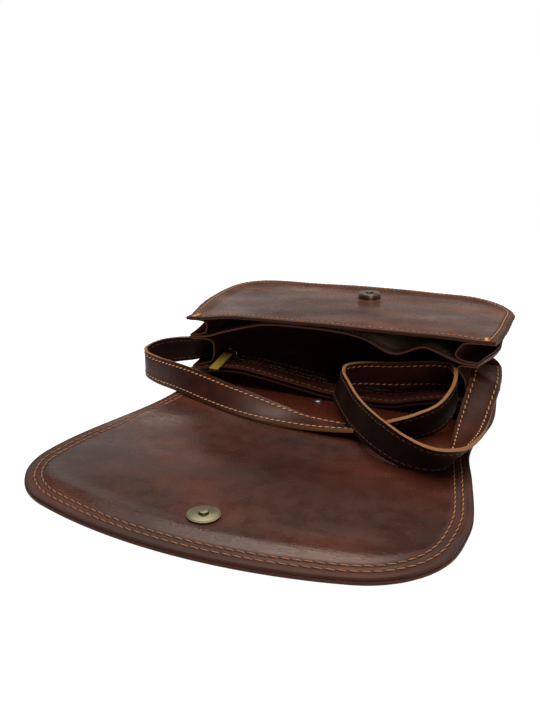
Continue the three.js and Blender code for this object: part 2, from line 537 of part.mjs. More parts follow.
// Strap: a flat section carried along its route, turned by its lean
function buildStrap() {
  const stations = STRAP_ROUTE.map(({ x, y, z }) => new THREE.Vector3(x, y, z));
  const middle = new THREE.CatmullRomCurve3(stations, false, 'centripetal');
  const leans = new THREE.CatmullRomCurve3(STRAP_ROUTE.map(({ lean }, i) => new THREE.Vector3(i, lean, 0)));
  const w = STRAP_WIDTH / 2;
  const h = STRAP_THICKNESS / 2;
  const e = STRAP_EDGE_ROUND;
  const section = [
    [w, h - e], [w - e, h], [e - w, h], [-w, h - e], [-w, e - h], [e - w, -h], [w - e, -h], [w, e - h],
  ];
  const up = new THREE.Vector3(0, 0, 1);
  const positions = [];
  for (const t of spaced(0, 1, STRAP_STEPS)) {
    const centre = middle.getPoint(t);
    const forward = middle.getTangent(t);
    const side = up.clone().cross(forward).normalize();
    const rise = forward.clone().cross(side);
    const lean = THREE.MathUtils.degToRad(leans.getPoint(t).y);
    const wide = side.clone().multiplyScalar(Math.cos(lean)).addScaledVector(rise, Math.sin(lean));
    const thick = forward.clone().cross(wide);
    for (const [a, b] of section) {
      positions.push(...centre.clone().addScaledVector(wide, a).addScaledVector(thick, b).toArray());
    }
  }
  const n = section.length;
  const indices = [];
  for (let s = 0; s < STRAP_STEPS; s += 1) {
    for (let k = 0; k < n; k += 1) {
      const a = s * n + k;
      const b = s * n + ((k + 1) % n);
      indices.push(a, b, b + n, a, b + n, a + n);
    }
  }
  const lastRing = STRAP_STEPS * n;
  for (let k = 1; k < n - 1; k += 1) {
    indices.push(0, k + 1, k, lastRing, lastRing + k, lastRing + k + 1);
  }
  const geometry = new THREE.BufferGeometry();
  geometry.setAttribute('position', new THREE.Float32BufferAttribute(positions, 3));
  geometry.setIndex(indices);
  addMesh('strap', tidy(geometry), LEATHER);
}

buildPanels();
buildGussets();
buildZip();
buildSnaps();
buildStrap();

export default bag;
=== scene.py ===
import math

import bmesh
import bpy
import numpy as np
from mathutils import Matrix, Vector


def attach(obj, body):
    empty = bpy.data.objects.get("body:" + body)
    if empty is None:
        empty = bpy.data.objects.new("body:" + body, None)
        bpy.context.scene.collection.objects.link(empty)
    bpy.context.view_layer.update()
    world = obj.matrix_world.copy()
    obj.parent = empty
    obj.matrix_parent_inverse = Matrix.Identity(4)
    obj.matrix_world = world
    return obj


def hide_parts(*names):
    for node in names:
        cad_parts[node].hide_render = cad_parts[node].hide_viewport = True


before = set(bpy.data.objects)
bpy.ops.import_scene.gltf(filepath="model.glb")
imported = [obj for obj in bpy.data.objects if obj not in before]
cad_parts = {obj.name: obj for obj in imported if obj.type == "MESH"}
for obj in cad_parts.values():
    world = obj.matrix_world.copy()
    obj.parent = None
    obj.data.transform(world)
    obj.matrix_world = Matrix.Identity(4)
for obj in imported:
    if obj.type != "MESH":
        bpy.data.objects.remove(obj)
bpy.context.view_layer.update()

# Sizes in metres: X to the right, -Y towards the viewer, Z up, the middle of the back panel at the origin
MOUTH_Y = -0.0515
BOTTOM_Y = 0.0815
HINGE_Y = -0.082
MOUTH_HALF_WIDTH = 0.1135
NECK_HALF_WIDTH = 0.1096
BODY_HALF_WIDTH = 0.118
WIDEST_Y = 0.020
BODY_CORNER_RADIUS = 0.048
BODY_CORNER_Y = BOTTOM_Y - BODY_CORNER_RADIUS
BODY_CORNER_X = BODY_HALF_WIDTH - BODY_CORNER_RADIUS
FLAP_END_Y = -0.2672
FLAP_END_RADIUS = 0.312
FLAP_HALF_WIDTH = 0.1269
FLAP_CORNER_RADIUS = 0.0546
FLAP_CORNER_Y = -0.2022
FLAP_CORNER_X = FLAP_HALF_WIDTH - FLAP_CORNER_RADIUS
FLAP_DOME = 0.0024
FLAP_DOME_Y = -0.205
FLAP_DOME_REACH = 0.055
FLAP_SIDE_BULGE = 0.0022
FLAP_BULGE_REACH = 0.110
FLAP_BULGE_ENDS = (-0.096, -0.210)
FLAP_BULGE_FADE = 0.036
BOTTOM_SIDE_Y = BODY_CORNER_Y + BODY_CORNER_RADIUS * math.sqrt(0.5)
FLAP_SIDE_Y = FLAP_CORNER_Y - FLAP_CORNER_RADIUS * math.sqrt(0.5)
BOW_REACH = 0.060
LINE_STEP = 0.001
SIDE_POINTS = 160
END_POINTS = 240
MOUTH_POINTS = 220

# Soft shapes of the flap's inner leather: puffs by its end seam and at its hinge, and one fold on its left
END_PUFF = 0.0008
END_PUFF_EXTRA = 0.0004
END_PUFF_EXTRA_X = -0.020
END_PUFF_EXTRA_REACH = 0.060
END_PUFF_INSET = 0.0192
END_PUFF_REACH = 0.0050
HINGE_PUFF = 0.0012
HINGE_PUFF_Y = -0.100
HINGE_PUFF_REACH = 0.022
FLAP_FOLD = 0.0026
FLAP_FOLD_PLACE = (-0.067, -0.124)
FLAP_FOLD_SLOPE = 0.227
FLAP_FOLD_REACH = 0.012
FLAP_FOLD_MIDDLE_X = -0.100
FLAP_FOLD_HALF_LENGTH = 0.030
FLAP_WAVE = 0.00025
FLAP_WAVE_PITCH = 0.030
SWELL_SIDE_FADE = 0.018
SWELL_END_FADE = 0.013
SWELL_START_Y = -0.062
SWELL_START_FADE = 0.020

# Wear of the flap's inner leather, a painted sheen and painted shade; a soft patch is its strength, its
# middle and its reach
RIGHT_CREASES = (1.0, (0.098, -0.128), (0.030, 0.030))
LEFT_CREASES = (0.6, (-0.098, -0.118), (0.030, 0.026))
END_CREASES = 0.5
END_CREASES_INSET = 0.0180
END_CREASES_REACH = 0.0070
# The painted sheen: a lighter, greyer wedge on the flap's left, by the hinge
SHEEN_EDGE = 0.004
SHEEN_LENGTH = 0.036
SHEEN_FADE = 0.022
SHEEN_RIGHT_X = -0.062
# Painted shade: redder leather in the bag's mouth and at the right end of the hinge
MOUTH_PAINTED_SHADE = 0.6
MOUTH_PAINTED_SHADE_Y = -0.115
MOUTH_PAINTED_SHADE_FADE = 0.030
RIGHT_PAINTED_SHADE = (0.45, (0.070, -0.150), (0.035, 0.022))

# Thicknesses of the layers and the rounding of their cut edges
OUTER_THICKNESS = 0.0016
LINING_THICKNESS = 0.0014
LINING_FILL = 0.0005
LINING_INSET = 0.0006
LINING_STEP = 0.0019
FRONT_THICKNESS = 0.0022
LEAF_THICKNESS = 0.0013
GUSSET_THICKNESS = 0.0011
SEAM_GAP = 0.0004
OUTER_ROUNDING = 0.0007
LINING_ROUNDING = 0.0008
FRONT_ROUNDING = 0.0008
LEAF_ROUNDING = 0.0004
GUSSET_ROUNDING = 0.0003

# Front panel, and the sideways leans of the body: a start is an X and a Z, a reach goes along X, Y and Z
FRONT_CROWN_Z = 0.0576
FRONT_MOUTH_RISE = 0.0012
FRONT_MOUTH_TILT = 0.0026
FRONT_SIDE_DROP = 0.0035
FRONT_LEFT_LIFT_REACH = 0.030
FRONT_RIM_RISE = 0.0014
FRONT_RIM_REACH = 0.016
FRONT_TIP_DROOP = 0.0028
FRONT_TIP_REACH = 0.045
FRONT_WAVE = 0.0003
FRONT_WAVE_PITCH = 0.034
FRONT_DIP = 0.0018
FRONT_DIP_X = -0.068
FRONT_DIP_REACH = 0.034
FRONT_DIP_START_Y = -0.030
FRONT_DIP_LENGTH = 0.110
FRONT_LEAN = 0.0045
LOWER_LEAN = 0.010
LEAN_CHANGE_Z = 0.042
LEAN_CHANGE_SPAN = 0.014
CORNER_TUCK = 0.0105
CORNER_TUCK_START = (0.050, 0.043)
CORNER_TUCK_REACH = (0.064, 0.065, 0.013)
MOUTH_FLARE = 0.0018
MOUTH_FLARE_START = (-0.085, 0.032)
MOUTH_FLARE_REACH = (0.028, 0.036, 0.008)

# Divider and zip pocket: their mouths follow listed places, X and Z, and fade into flat leaves
DIVIDER_MOUTH_Y = -0.049
DIVIDER_Z = 0.0405
DIVIDER_FADE = 0.070
RAW_PATCH_X = 0.043
RAW_PATCH_REACH = 0.024
RAW_PATCH_START = 0.0085
RAW_PATCH_FADE = 0.004
DIVIDER_MOUTH = [
    (-0.114, 0.0364), (-0.098, 0.0390), (-0.088, 0.0428), (-0.073, 0.0476), (-0.052, 0.0532),
    (-0.024, 0.0548), (0.006, 0.0546), (0.026, 0.0515), (0.046, 0.0438), (0.0665, 0.0510),
    (0.0765, 0.0493), (0.0915, 0.0456), (0.103, 0.0433), (0.114, 0.0430),
]
POCKET_MOUTH_Y = -0.052
POCKET_Z = 0.014
POCKET_LEAF_STEP = 0.0034
POCKET_FADE = 0.095
POCKET_MOUTH = [
    (-0.114, 0.0116), (-0.101, 0.0147), (-0.084, 0.0174), (-0.068, 0.0178), (-0.056, 0.0166),
    (-0.042, 0.0148), (-0.022, 0.0120), (-0.002, 0.0094), (0.016, 0.0085), (0.036, 0.0084),
    (0.050, 0.0098), (0.060, 0.0128), (0.072, 0.0159), (0.083, 0.0180), (0.092, 0.0180),
    (0.104, 0.0194), (0.114, 0.0200),
]

# Gussets: how deep each is folded inwards, and half of a fold's section as shares of its depth and height
GUSSET_MOUTH_Y = -0.048
GUSSET_EDGE_INSET = 0.0009
GUSSET_FOLDS = {
    "front_gusset": {"left": 0.014, "bottom": 0.015, "right": 0.022},
    "middle_gusset": {"left": 0.019, "bottom": 0.016, "right": 0.017},
    "rear_gusset": {"left": 0.015, "bottom": 0.013, "right": 0.014},
}
FOLD_HALF_SECTION = [(0, 1), (0.25, 1), (0.5, 0.98), (0.75, 0.91), (0.93, 0.7), (1, 0.28)]
GUSSET_SIDE_POINTS = 40
GUSSET_TURN_POINTS = 24
GUSSET_BOTTOM_POINTS = 40
GUSSET_SECTION_POINTS = 31

# Zip: tape, teeth, slider with its bridge, and pull tab with its link
ZIP_Y = -0.029
ZIP_SLOT_WIDTH = 0.008
ZIP_HALF_LENGTH = 0.096
TAPE_WIDTH = 0.024
TAPE_POINTS = (90, 9)
TAPE_THICKNESS = 0.0007
TAPE_ROUNDING = 0.0002
TAPE_END_MARGIN = 0.006
CHAIN_END_MARGIN = 0.005
CHAIN_RISE = 0.00015
CHAIN_START = 0.004
TOOTH_SIZE = (0.0011, 0.0032, 0.0016)
TOOTH_ROUNDING = 0.0002
TOOTH_PITCH = 0.0012
TOOTH_OFFSET = 0.0008
SLIDER_X = -0.0865
SLIDER_TOP_SIZE = (0.0090, 0.0070, 0.0014)
SLIDER_TOP_Z = 0.0017
SLIDER_TOP_ROUNDING = 0.0006
SLIDER_UNDER_SIZE = (0.0090, 0.0066, 0.0010)
SLIDER_UNDER_Z = 0.0005
SLIDER_UNDER_ROUNDING = 0.0004
BRIDGE_RADIUS = 0.0028
BRIDGE_WIRE = 0.0007
BRIDGE_Z = 0.0024
PULL_SIZE = (0.0237, 0.0075, 0.0012)
PULL_RIM = 0.0006
PULL_PANEL_DEPTH = 0.00015
PULL_ROUNDING = 0.0003
PULL_SHIFT = -0.0015
PULL_RISE = 0.006
PULL_TURN = -0.02
PULL_CLEARANCE = 0.001
LINK_REACH = 0.0042
LINK_RADIUS = 0.0043
LINK_WIRE = 0.00055
LINK_CENTRE = (-0.0028, 0, -0.0004)
LINK_SQUASH = 0.6

# Snap and rivet: each disc's top is inset and raised in steps
SNAP_RADIUS = 0.009
STUD_PLACE = (0.002, -0.2355)
STUD_HEIGHT = 0.0010
STUD_RIM = 0.0007
STUD_STEP = 0.0003
STUD_RING = 0.0056
STUD_BOSS = 0.0002
STUD_POST = 0.0014
STUD_POST_REACH = 0.001
STUD_ROUNDING = 0.00025
SOCKET_PLACE = (-0.0005, 0.043)
SOCKET_HEIGHT = 0.0040
SOCKET_RIM = 0.0012
SOCKET_STEP = 0.00015
SOCKET_RING = 0.0043
SOCKET_HOLE = 0.0030
SOCKET_ROUNDING = 0.0006
RIVET_PLACE = (-0.005, -0.056)
RIVET_RADIUS = 0.0034
RIVET_SIDES = 32
RIVET_HEIGHT = 0.0010
RIVET_RIM = 0.0008
RIVET_CROWN = 0.0004
RIVET_ROUNDING = 0.0003
LEVEL_SLACK = 0.0001

# Seams: the leather is pressed in and darker along them, and darker and rolled down at its rim
SEAM_REACH = 0.0014
FLAP_SEAM_DEPTH = 0.0003
FRONT_SEAM_DEPTH = 0.00015
LEAF_SEAM_DEPTH = 0.0002
FRONT_RIM_ROLL = 0.0016
RIM_ROLL_REACH = 0.0030
RIM_ROLL_FADE = 0.012
RIM_DARK = 0.8
RIM_DARK_REACH = 0.0025
MOUTH_DARK = 0.8
MOUTH_DARK_REACH = 0.0022
FLAP_SEAM_START_Y = -0.055
FLAP_SEAM_INSETS = (0.0058, 0.0100)
RIM_SEAM_INSET = 0.0049
MOUTH_SEAM_INSET = 0.0046
MOUTH_SEAM_TRIM = 6
DIVIDER_SEAM_INSET = 0.007
POCKET_SEAM_INSET = 0.0035
ZIP_SEAM_GAP = 0.0028
ZIP_SEAM_HALF_LENGTH = 0.103
ZIP_SEAM_POINTS = 200

# Stitches, and the bar tacks at both ends of the front panel's mouth
FLAP_STITCH = {"pitch": 0.00545, "length": 0.0051}
RIM_STITCH = {"pitch": 0.0038, "length": 0.0030, "width": 0.0008}
MOUTH_STITCH = {"pitch": 0.0038, "length": 0.0029, "width": 0.0006}
TACK_STITCH = {"pitch": 0.004, "length": 0.0042, "width": 0.0009}
STRAP_STITCH = {"pitch": 0.0043, "length": 0.0037}
STITCH_TWIST = 0.25
STITCH_DIP = 0.4
STITCH_HEIGHT_SHARE = 0.42
THREAD_STEP = 0.0001
TACK_COUNT = 5
TACK_INSET = 0.0052
TACK_STEP = 0.0004
TACK_ENDS = (0.0005, 0.0085)
TACK_SLANT = 0.001

# Meshes of the panels: columns as count and gather, and rows in stretches from Y to Y with a count
OUTER_COLUMNS = (60, 1.3)
OUTER_ROWS = [(FLAP_SIDE_Y, BOTTOM_SIDE_Y, 70)]
PANEL_COLUMNS = (120, 1.42)
LINING_ROWS = [(FLAP_SIDE_Y, -0.223, 17), (-0.220, BOTTOM_SIDE_Y, 88)]
FRONT_ROWS = [(MOUTH_Y, MOUTH_Y + 0.009, 12), (MOUTH_Y + 0.011, 0.055, 36), (0.0562, BOTTOM_SIDE_Y, 11)]
LEAF_COLUMNS = (140, 0.9)
DIVIDER_ROWS = [(DIVIDER_MOUTH_Y, -0.030, 14), (-0.027, BOTTOM_SIDE_Y, 30)]
SLOT_START_Y = ZIP_Y - ZIP_SLOT_WIDTH / 2
SLOT_END_Y = ZIP_Y + ZIP_SLOT_WIDTH / 2
POCKET_ROWS = [
    (POCKET_MOUTH_Y, SLOT_START_Y, 12), (ZIP_Y, SLOT_END_Y, 2), (SLOT_END_Y + 0.003, BOTTOM_SIDE_Y, 32),
]
LOWER_LEAF_COLUMNS = (100, 0.9)
LOWER_LEAF_ROWS = [(POCKET_MOUTH_Y, BOTTOM_SIDE_Y, 40)]

# Strap, with its columns and seams as shares of its half width
STRAP_WIDTH = 0.020
STRAP_THICKNESS = 0.0024
STRAP_ROUNDING = 0.0005
STRAP_STATIONS = 430
STRAP_COLUMNS = (-1, -0.97, -0.9, -0.8, -0.7, -0.6, -0.3, 0, 0.3, 0.6, 0.7, 0.8, 0.9, 0.97, 1)
STRAP_SEAM_SHARE = 0.72
STRAP_SEAM_SLANT = 0.1
STRAP_DARK = 0.8
STRAP_DARK_SHARE = 0.70
STRAP_DARK_REACH = 0.10
STRAP_CREASE_Y = -0.0435
STRAP_CREASE_SKEW = 0.0065
STRAP_CREASE_FADE = 0.0015
STRAP_ROOT_SHARE = 0.85
STRAP_ROOT_RISE = 0.0008
STRAP_ROOT_CREASES = 0.8

# The strap's route: x, y, z in metres and lean in degrees
STRAP_ROUTE = [
    (-0.112, -0.004, 0.0258, 66), (-0.1095, -0.031, 0.0254, 68), (-0.116, -0.037, 0.0245, 75),
    (-0.131, -0.0385, 0.0218, 85), (-0.1434, -0.0403, 0.0188, 89), (-0.1504, -0.0446, 0.016, 90),
    (-0.1528, -0.051, 0.014, 90), (-0.1492, -0.0574, 0.013, 89), (-0.134, -0.066, 0.0124, 80),
    (-0.104, -0.079, 0.0136, 68),
    (-0.049, -0.0975, 0.0108, 40), (0, -0.103, 0.0068, 2), (0.04, -0.1025, 0.0078, -15),
    (0.052, -0.103, 0.0092, -26), (0.065, -0.1025, 0.0124, -58), (0.077, -0.094, 0.0136, -78),
    (0.087, -0.0805, 0.0164, -86), (0.0915, -0.066, 0.0229, -90), (0.091, -0.0545, 0.0287, -93),
    (0.0876, -0.0445, 0.0295, -96), (0.0825, -0.0365, 0.029, -98), (0.073, -0.0325, 0.0279, -100),
    (0.045, -0.037, 0.0248, -100), (0.022, -0.046, 0.0248, -104), (0.013, -0.0545, 0.0244, -107),
    (0.013, -0.064, 0.0226, -108), (0.0225, -0.08, 0.0202, -108), (0.0405, -0.107, 0.019, -106),
    (0.063, -0.1285, 0.0166, -102), (0.081, -0.1375, 0.014, -86), (0.097, -0.139, 0.013, -64),
    (0.106, -0.13, 0.012, -54), (0.108, -0.106, 0.0114, -34), (0.107, -0.079, 0.0134, -10),
    (0.107, -0.065, 0.0184, 0), (0.1078, -0.0545, 0.0256, 6), (0.1084, -0.048, 0.0312, 9),
    (0.108, -0.042, 0.0337, 9), (0.107, -0.036, 0.0359, 8), (0.1055, -0.029, 0.0371, 6),
]

# Camera at the photo's angle
CAMERA_PLACE = (0.1762, -0.5343, 0.2001)
CAMERA_TURN = (72.04, 0.0, 24.64)
CAMERA_LENS = 38.0
CAMERA_NEAREST = 0.01

# Floor and soft studio light: lamps by place, size and power, and the sky's greys by height
FLOOR_SIZE = 1.8
FLOOR_Z = -0.0003
FLOOR_GREY = (0.2, 0.2, 0.2, 1)
FLOOR_GLOW = 0.93
LAMP_AIM = (0, -0.08, 0.02)
LAMPS = [
    ("top", (-0.1, 0.1, 1.6), (1.8, 1.8), 40),
    ("back", (-0.5, 1.0, 1.75), (1.0, 0.5), 12),
    ("front", (0.8, -1.15, 0.32), (0.8, 0.3), 3.4),
    ("left", (-1.19, 1.32, 0.68), (0.8, 0.4), 0.8),
]
SKY_GREYS = [(0.135, 1.0), (0.165, 0.06), (0.6, 0.06), (0.9, 0.4)]
SKY_STRENGTH = {"low": 0.25, "high": 1.0, "start": -0.3, "end": 0.2}


# Curves and surfaces
def smooth(t):
    t = np.clip(t, 0.0, 1.0)
    return t * t * (3.0 - 2.0 * t)


def hump(distance, reach):
    return np.exp(-((distance / reach) ** 2))


def arc(radius, offset):
    return np.sqrt(np.maximum(radius**2 - offset**2, 0.0))


def unit(ways):
    return ways / np.linalg.norm(ways, axis=-1, keepdims=True)


def wander(x, y, pitch):
    """A gentle unevenness between -1 and 1, with bumps about one pitch apart."""
    u, v = x / pitch, y / pitch
    first = np.sin(2.1 * u + 1.3 * v + 0.4) * np.cos(1.7 * v - 0.6 * u)
    second = np.sin(3.7 * u - 2.3 * v + 2.0) * np.cos(2.9 * v + 1.1 * u + 0.7)
    return 0.6 * first + 0.4 * second


def through(rows, stations):
    """A centripetal Catmull-Rom curve through rows, at stations counted in rows."""
    rows = np.asarray(rows, float)
    posts = np.vstack([2 * rows[0] - rows[1], rows, 2 * rows[-1] - rows[-2]])
    at = np.clip(stations.astype(int), 0, len(rows) - 2)
    t = (stations - at)[:, None]
    p0, p1, p2, p3 = (posts[at + k] for k in range(4))
    d0, d1, d2 = (
        np.sqrt(np.linalg.norm(b - a, axis=1))[:, None] for a, b in ((p0, p1), (p1, p2), (p2, p3))
    )
    leave = ((p1 - p0) / d0 - (p2 - p0) / (d0 + d1) + (p2 - p1) / d1) * d1
    arrive = ((p2 - p1) / d1 - (p3 - p1) / (d1 + d2) + (p3 - p2) / d2) * d1
    square = 3 * (p2 - p1) - 2 * leave - arrive
    cube = 2 * (p1 - p2) + leave + arrive
    return p1 + leave * t + square * t**2 + cube * t**3


def mouth_height(table, x):
    places, heights = np.array(table).T
    reach = np.r_[places[0], places, places[-1]]
    rise = np.r_[heights[0], heights, heights[-1]]
    slopes = (rise[2:] - rise[:-2]) / (reach[2:] - reach[:-2])
    at = np.clip(np.searchsorted(places, x) - 1, 0, len(places) - 2)
    span = places[at + 1] - places[at]
    t = np.clip((x - places[at]) / span, 0.0, 1.0)
    bend = t * (1 - t) * span * ((1 - t) * slopes[at] - t * slopes[at + 1])
    return heights[at] + (heights[at + 1] - heights[at]) * smooth(t) + bend


def half_width(y):
    y = np.asarray(y, float)
    flap = FLAP_CORNER_X + arc(FLAP_CORNER_RADIUS, y - FLAP_CORNER_Y)
    taper = (1 + np.cos(np.pi * (y - FLAP_CORNER_Y) / (HINGE_Y - FLAP_CORNER_Y))) / 2
    side = NECK_HALF_WIDTH + (FLAP_HALF_WIDTH - NECK_HALF_WIDTH) * taper
    widening = smooth((y - HINGE_Y) / (MOUTH_Y - HINGE_Y))
    neck = NECK_HALF_WIDTH + (MOUTH_HALF_WIDTH - NECK_HALF_WIDTH) * widening
    away = (y - WIDEST_Y) / (MOUTH_Y - WIDEST_Y)
    body = BODY_HALF_WIDTH - (BODY_HALF_WIDTH - MOUTH_HALF_WIDTH) * away**2
    corner = BODY_CORNER_X + arc(BODY_CORNER_RADIUS, y - BODY_CORNER_Y)
    zones = [y < FLAP_CORNER_Y, y < HINGE_Y, y < MOUTH_Y, y < BODY_CORNER_Y]
    return np.select(zones, [flap, side, neck, body], corner)


def bottom_edge(x):
    past = np.maximum(np.abs(x) - BODY_CORNER_X, 0.0)
    return BODY_CORNER_Y + arc(BODY_CORNER_RADIUS, past)


def flap_edge(x):
    meet = FLAP_CORNER_X * FLAP_END_RADIUS / (FLAP_END_RADIUS - FLAP_CORNER_RADIUS)
    end = FLAP_END_Y + FLAP_END_RADIUS - arc(FLAP_END_RADIUS, x)
    corner = FLAP_CORNER_Y - arc(FLAP_CORNER_RADIUS, np.abs(x) - FLAP_CORNER_X)
    return np.where(np.abs(x) < meet, end, corner)


def corner_tuck(x, y, z):
    """How far the divider's right mouth corner is drawn in."""
    start_x, level = CORNER_TUCK_START
    reach_x, reach_y, reach_z = CORNER_TUCK_REACH
    mouth = 1 - smooth((y - MOUTH_Y) / reach_y)
    return CORNER_TUCK * smooth((x - start_x) / reach_x) * mouth * smooth(1 - np.abs(z - level) / reach_z)


def mouth_flare(x, y, z):
    """How far the left mouth corner reaches out, at the front panel and the gusset below it."""
    start_x, start_z = MOUTH_FLARE_START
    reach_x, reach_y, reach_z = MOUTH_FLARE_REACH
    at_mouth = smooth(1 - (y - MOUTH_Y) / reach_y) * smooth((z - start_z) / reach_z)
    return MOUTH_FLARE * smooth((start_x - x) / reach_x) * at_mouth


def flap_bulge(x, y):
    """How far the flap's right side bulges out."""
    hinge, corner = FLAP_BULGE_ENDS
    on_flap = smooth((hinge - y) / FLAP_BULGE_FADE) * smooth((y - corner) / FLAP_BULGE_FADE)
    return FLAP_SIDE_BULGE * smooth(x / FLAP_BULGE_REACH) * on_flap


def lean_at(x, y, z):
    """Sideways shift of a point from the symmetric outline; towards its bottom the body leans left."""
    lean = LOWER_LEAN + (FRONT_LEAN - LOWER_LEAN) * smooth((z - LEAN_CHANGE_Z) / LEAN_CHANGE_SPAN)
    lean = lean * smooth((y - MOUTH_Y) / (BODY_CORNER_Y - MOUTH_Y))
    return flap_bulge(x, y) - mouth_flare(x, y, z) - corner_tuck(x, y, z) - lean


def flap_dome(x, y):
    along = smooth(1 - ((y - FLAP_DOME_Y) / FLAP_DOME_REACH) ** 2)
    return FLAP_DOME * smooth(1 - (x / FLAP_HALF_WIDTH) ** 2) * along


def fold_line(x):
    """Y of the slanting fold on the flap's left."""
    place_x, place_y = FLAP_FOLD_PLACE
    return place_y + FLAP_FOLD_SLOPE * (x - place_x)


def flap_swell(x, y):
    """Soft puffs of the flap's inner leather: by its end seam, at the hinge and in one fold on the left."""
    from_end = y - flap_edge(x)
    end_height = END_PUFF + END_PUFF_EXTRA * hump(x - END_PUFF_EXTRA_X, END_PUFF_EXTRA_REACH)
    end = end_height * hump(from_end - END_PUFF_INSET, END_PUFF_REACH)
    hinge = HINGE_PUFF * hump(y - HINGE_PUFF_Y, HINGE_PUFF_REACH)
    along_fold = hump(x - FLAP_FOLD_MIDDLE_X, FLAP_FOLD_HALF_LENGTH)
    fold = FLAP_FOLD * hump(y - fold_line(x), FLAP_FOLD_REACH) * along_fold
    waves = FLAP_WAVE * wander(x, y, FLAP_WAVE_PITCH)
    inside = smooth((half_width(y) - np.abs(x)) / SWELL_SIDE_FADE) * smooth(from_end / SWELL_END_FADE)
    return (end + hinge + fold + waves) * inside * smooth((SWELL_START_Y - y) / SWELL_START_FADE)


def outer_height(x, y):
    return OUTER_THICKNESS / 2 + flap_dome(x, y)


def lining_height(x, y):
    return outer_height(x, y) + LINING_STEP + flap_swell(x, y)


def lining_middle(x, y):
    return lining_height(x, y) - LINING_FILL / 2


def lining_top(x, y):
    return outer_height(x, y) + LINING_STEP + LINING_THICKNESS / 2


def front_height(x, y):
    across = x / BODY_HALF_WIDTH
    mouth = 1 - smooth((y - MOUTH_Y) / (BOTTOM_Y - MOUTH_Y))
    rise = mouth * (FRONT_MOUTH_RISE + FRONT_MOUTH_TILT * across)
    left_lift = np.where(x < 0, smooth((y - MOUTH_Y) / FRONT_LEFT_LIFT_REACH), 0.0)
    drop = FRONT_SIDE_DROP * (1 - left_lift) * across**6
    rim_gap = np.minimum(half_width(y) - np.abs(x), bottom_edge(x) - y)
    rim = FRONT_RIM_RISE * smooth(1 - rim_gap / FRONT_RIM_REACH)
    from_tip = np.hypot(x + MOUTH_HALF_WIDTH, y - MOUTH_Y)
    droop = FRONT_TIP_DROOP * smooth(1 - from_tip / FRONT_TIP_REACH)
    past_start = smooth((y - FRONT_DIP_START_Y) / FRONT_DIP_LENGTH)
    dip = FRONT_DIP * hump(x - FRONT_DIP_X, FRONT_DIP_REACH) * past_start
    waves = FRONT_WAVE * wander(x, y, FRONT_WAVE_PITCH)
    return FRONT_CROWN_Z + rise - drop + rim - droop - dip + waves


def divider_height(x, y):
    fade = 1 - smooth((y - DIVIDER_MOUTH_Y) / DIVIDER_FADE)
    return DIVIDER_Z + (mouth_height(DIVIDER_MOUTH, x) - DIVIDER_Z) * fade


def pocket_height(x, y):
    fade = 1 - smooth((y - POCKET_MOUTH_Y) / POCKET_FADE)
    return POCKET_Z + (mouth_height(POCKET_MOUTH, x) - POCKET_Z) * fade


def lower_leaf_height(x, y):
    return pocket_height(x, y) - POCKET_LEAF_STEP


def tape_height(x, y):
    return pocket_height(x, y) - (LEAF_THICKNESS + TAPE_THICKNESS) / 2 - SEAM_GAP


def value_at(height, x, y):
    return float(height(np.array([x]), np.array([y]))[0])


def panel_plan(across, side_y, inset):
    """Place in plan of a panel's point: rows run straight across, and bow along the rounded ends."""
    bottom = np.maximum(bottom_edge(across * half_width(BOTTOM_SIDE_Y)) - BOTTOM_SIDE_Y - inset, 0.0)
    flap = np.minimum(flap_edge(across * half_width(FLAP_SIDE_Y)) - FLAP_SIDE_Y + inset, 0.0)
    y = side_y + smooth((side_y - BOTTOM_SIDE_Y) / BOW_REACH + 1) * bottom
    y = y + smooth((FLAP_SIDE_Y - side_y) / BOW_REACH + 1) * flap
    return across * (half_width(side_y) - inset), y


def on_surface(height, x, y):
    z = height(x, y)
    return np.stack([x + lean_at(x, y, z), y, z], axis=-1)


# Lines in plan
def even(line, step):
    """The same line with its points one step apart."""
    lengths = np.r_[0, np.cumsum(np.linalg.norm(np.diff(line, axis=0), axis=1))]
    stops = np.linspace(0, lengths[-1], max(2, round(lengths[-1] / step) + 1))
    return np.stack([np.interp(stops, lengths, values) for values in line.T], axis=-1)


def rim_line(side_y, end_side_y, edge):
    """A panel's outline from its left side, round its end, to its right side."""
    side = np.linspace(side_y, end_side_y, SIDE_POINTS)
    left = np.stack([-half_width(side), side], axis=-1)
    across = np.linspace(-1, 1, END_POINTS) * half_width(end_side_y)
    end = np.stack([across, edge(across)], axis=-1)
    right = left[::-1] * (-1, 1)
    return even(np.concatenate([left[:-1], end, right[1:]]), LINE_STEP)


def inset_line(line, inset):
    """The same line moved inwards."""
    ways = unit(np.gradient(line, axis=0))
    inward = np.stack([-ways[:, 1], ways[:, 0]], axis=-1)
    sign = np.sign(np.sum(inward * (line.mean(axis=0) - line)))
    return even(line + sign * inset * inward, LINE_STEP)


def cross_line(x, y):
    """A straight line across, at one Y."""
    return np.stack([x, np.full_like(x, y)], axis=-1)


def gap_to(x, y, line):
    """Distance in plan from each point to a line."""
    return np.min(np.hypot(x[:, None] - line[None, :, 0], y[:, None] - line[None, :, 1]), axis=1)


# Materials
def linear(red, green, blue):
    """A screen colour, 0 to 255, as the shaders count it."""
    parts = [c / 255 for c in (red, green, blue)]
    return tuple(c / 12.92 if c < 0.04 else ((c + 0.055) / 1.055) ** 2.4 for c in parts) + (1.0,)


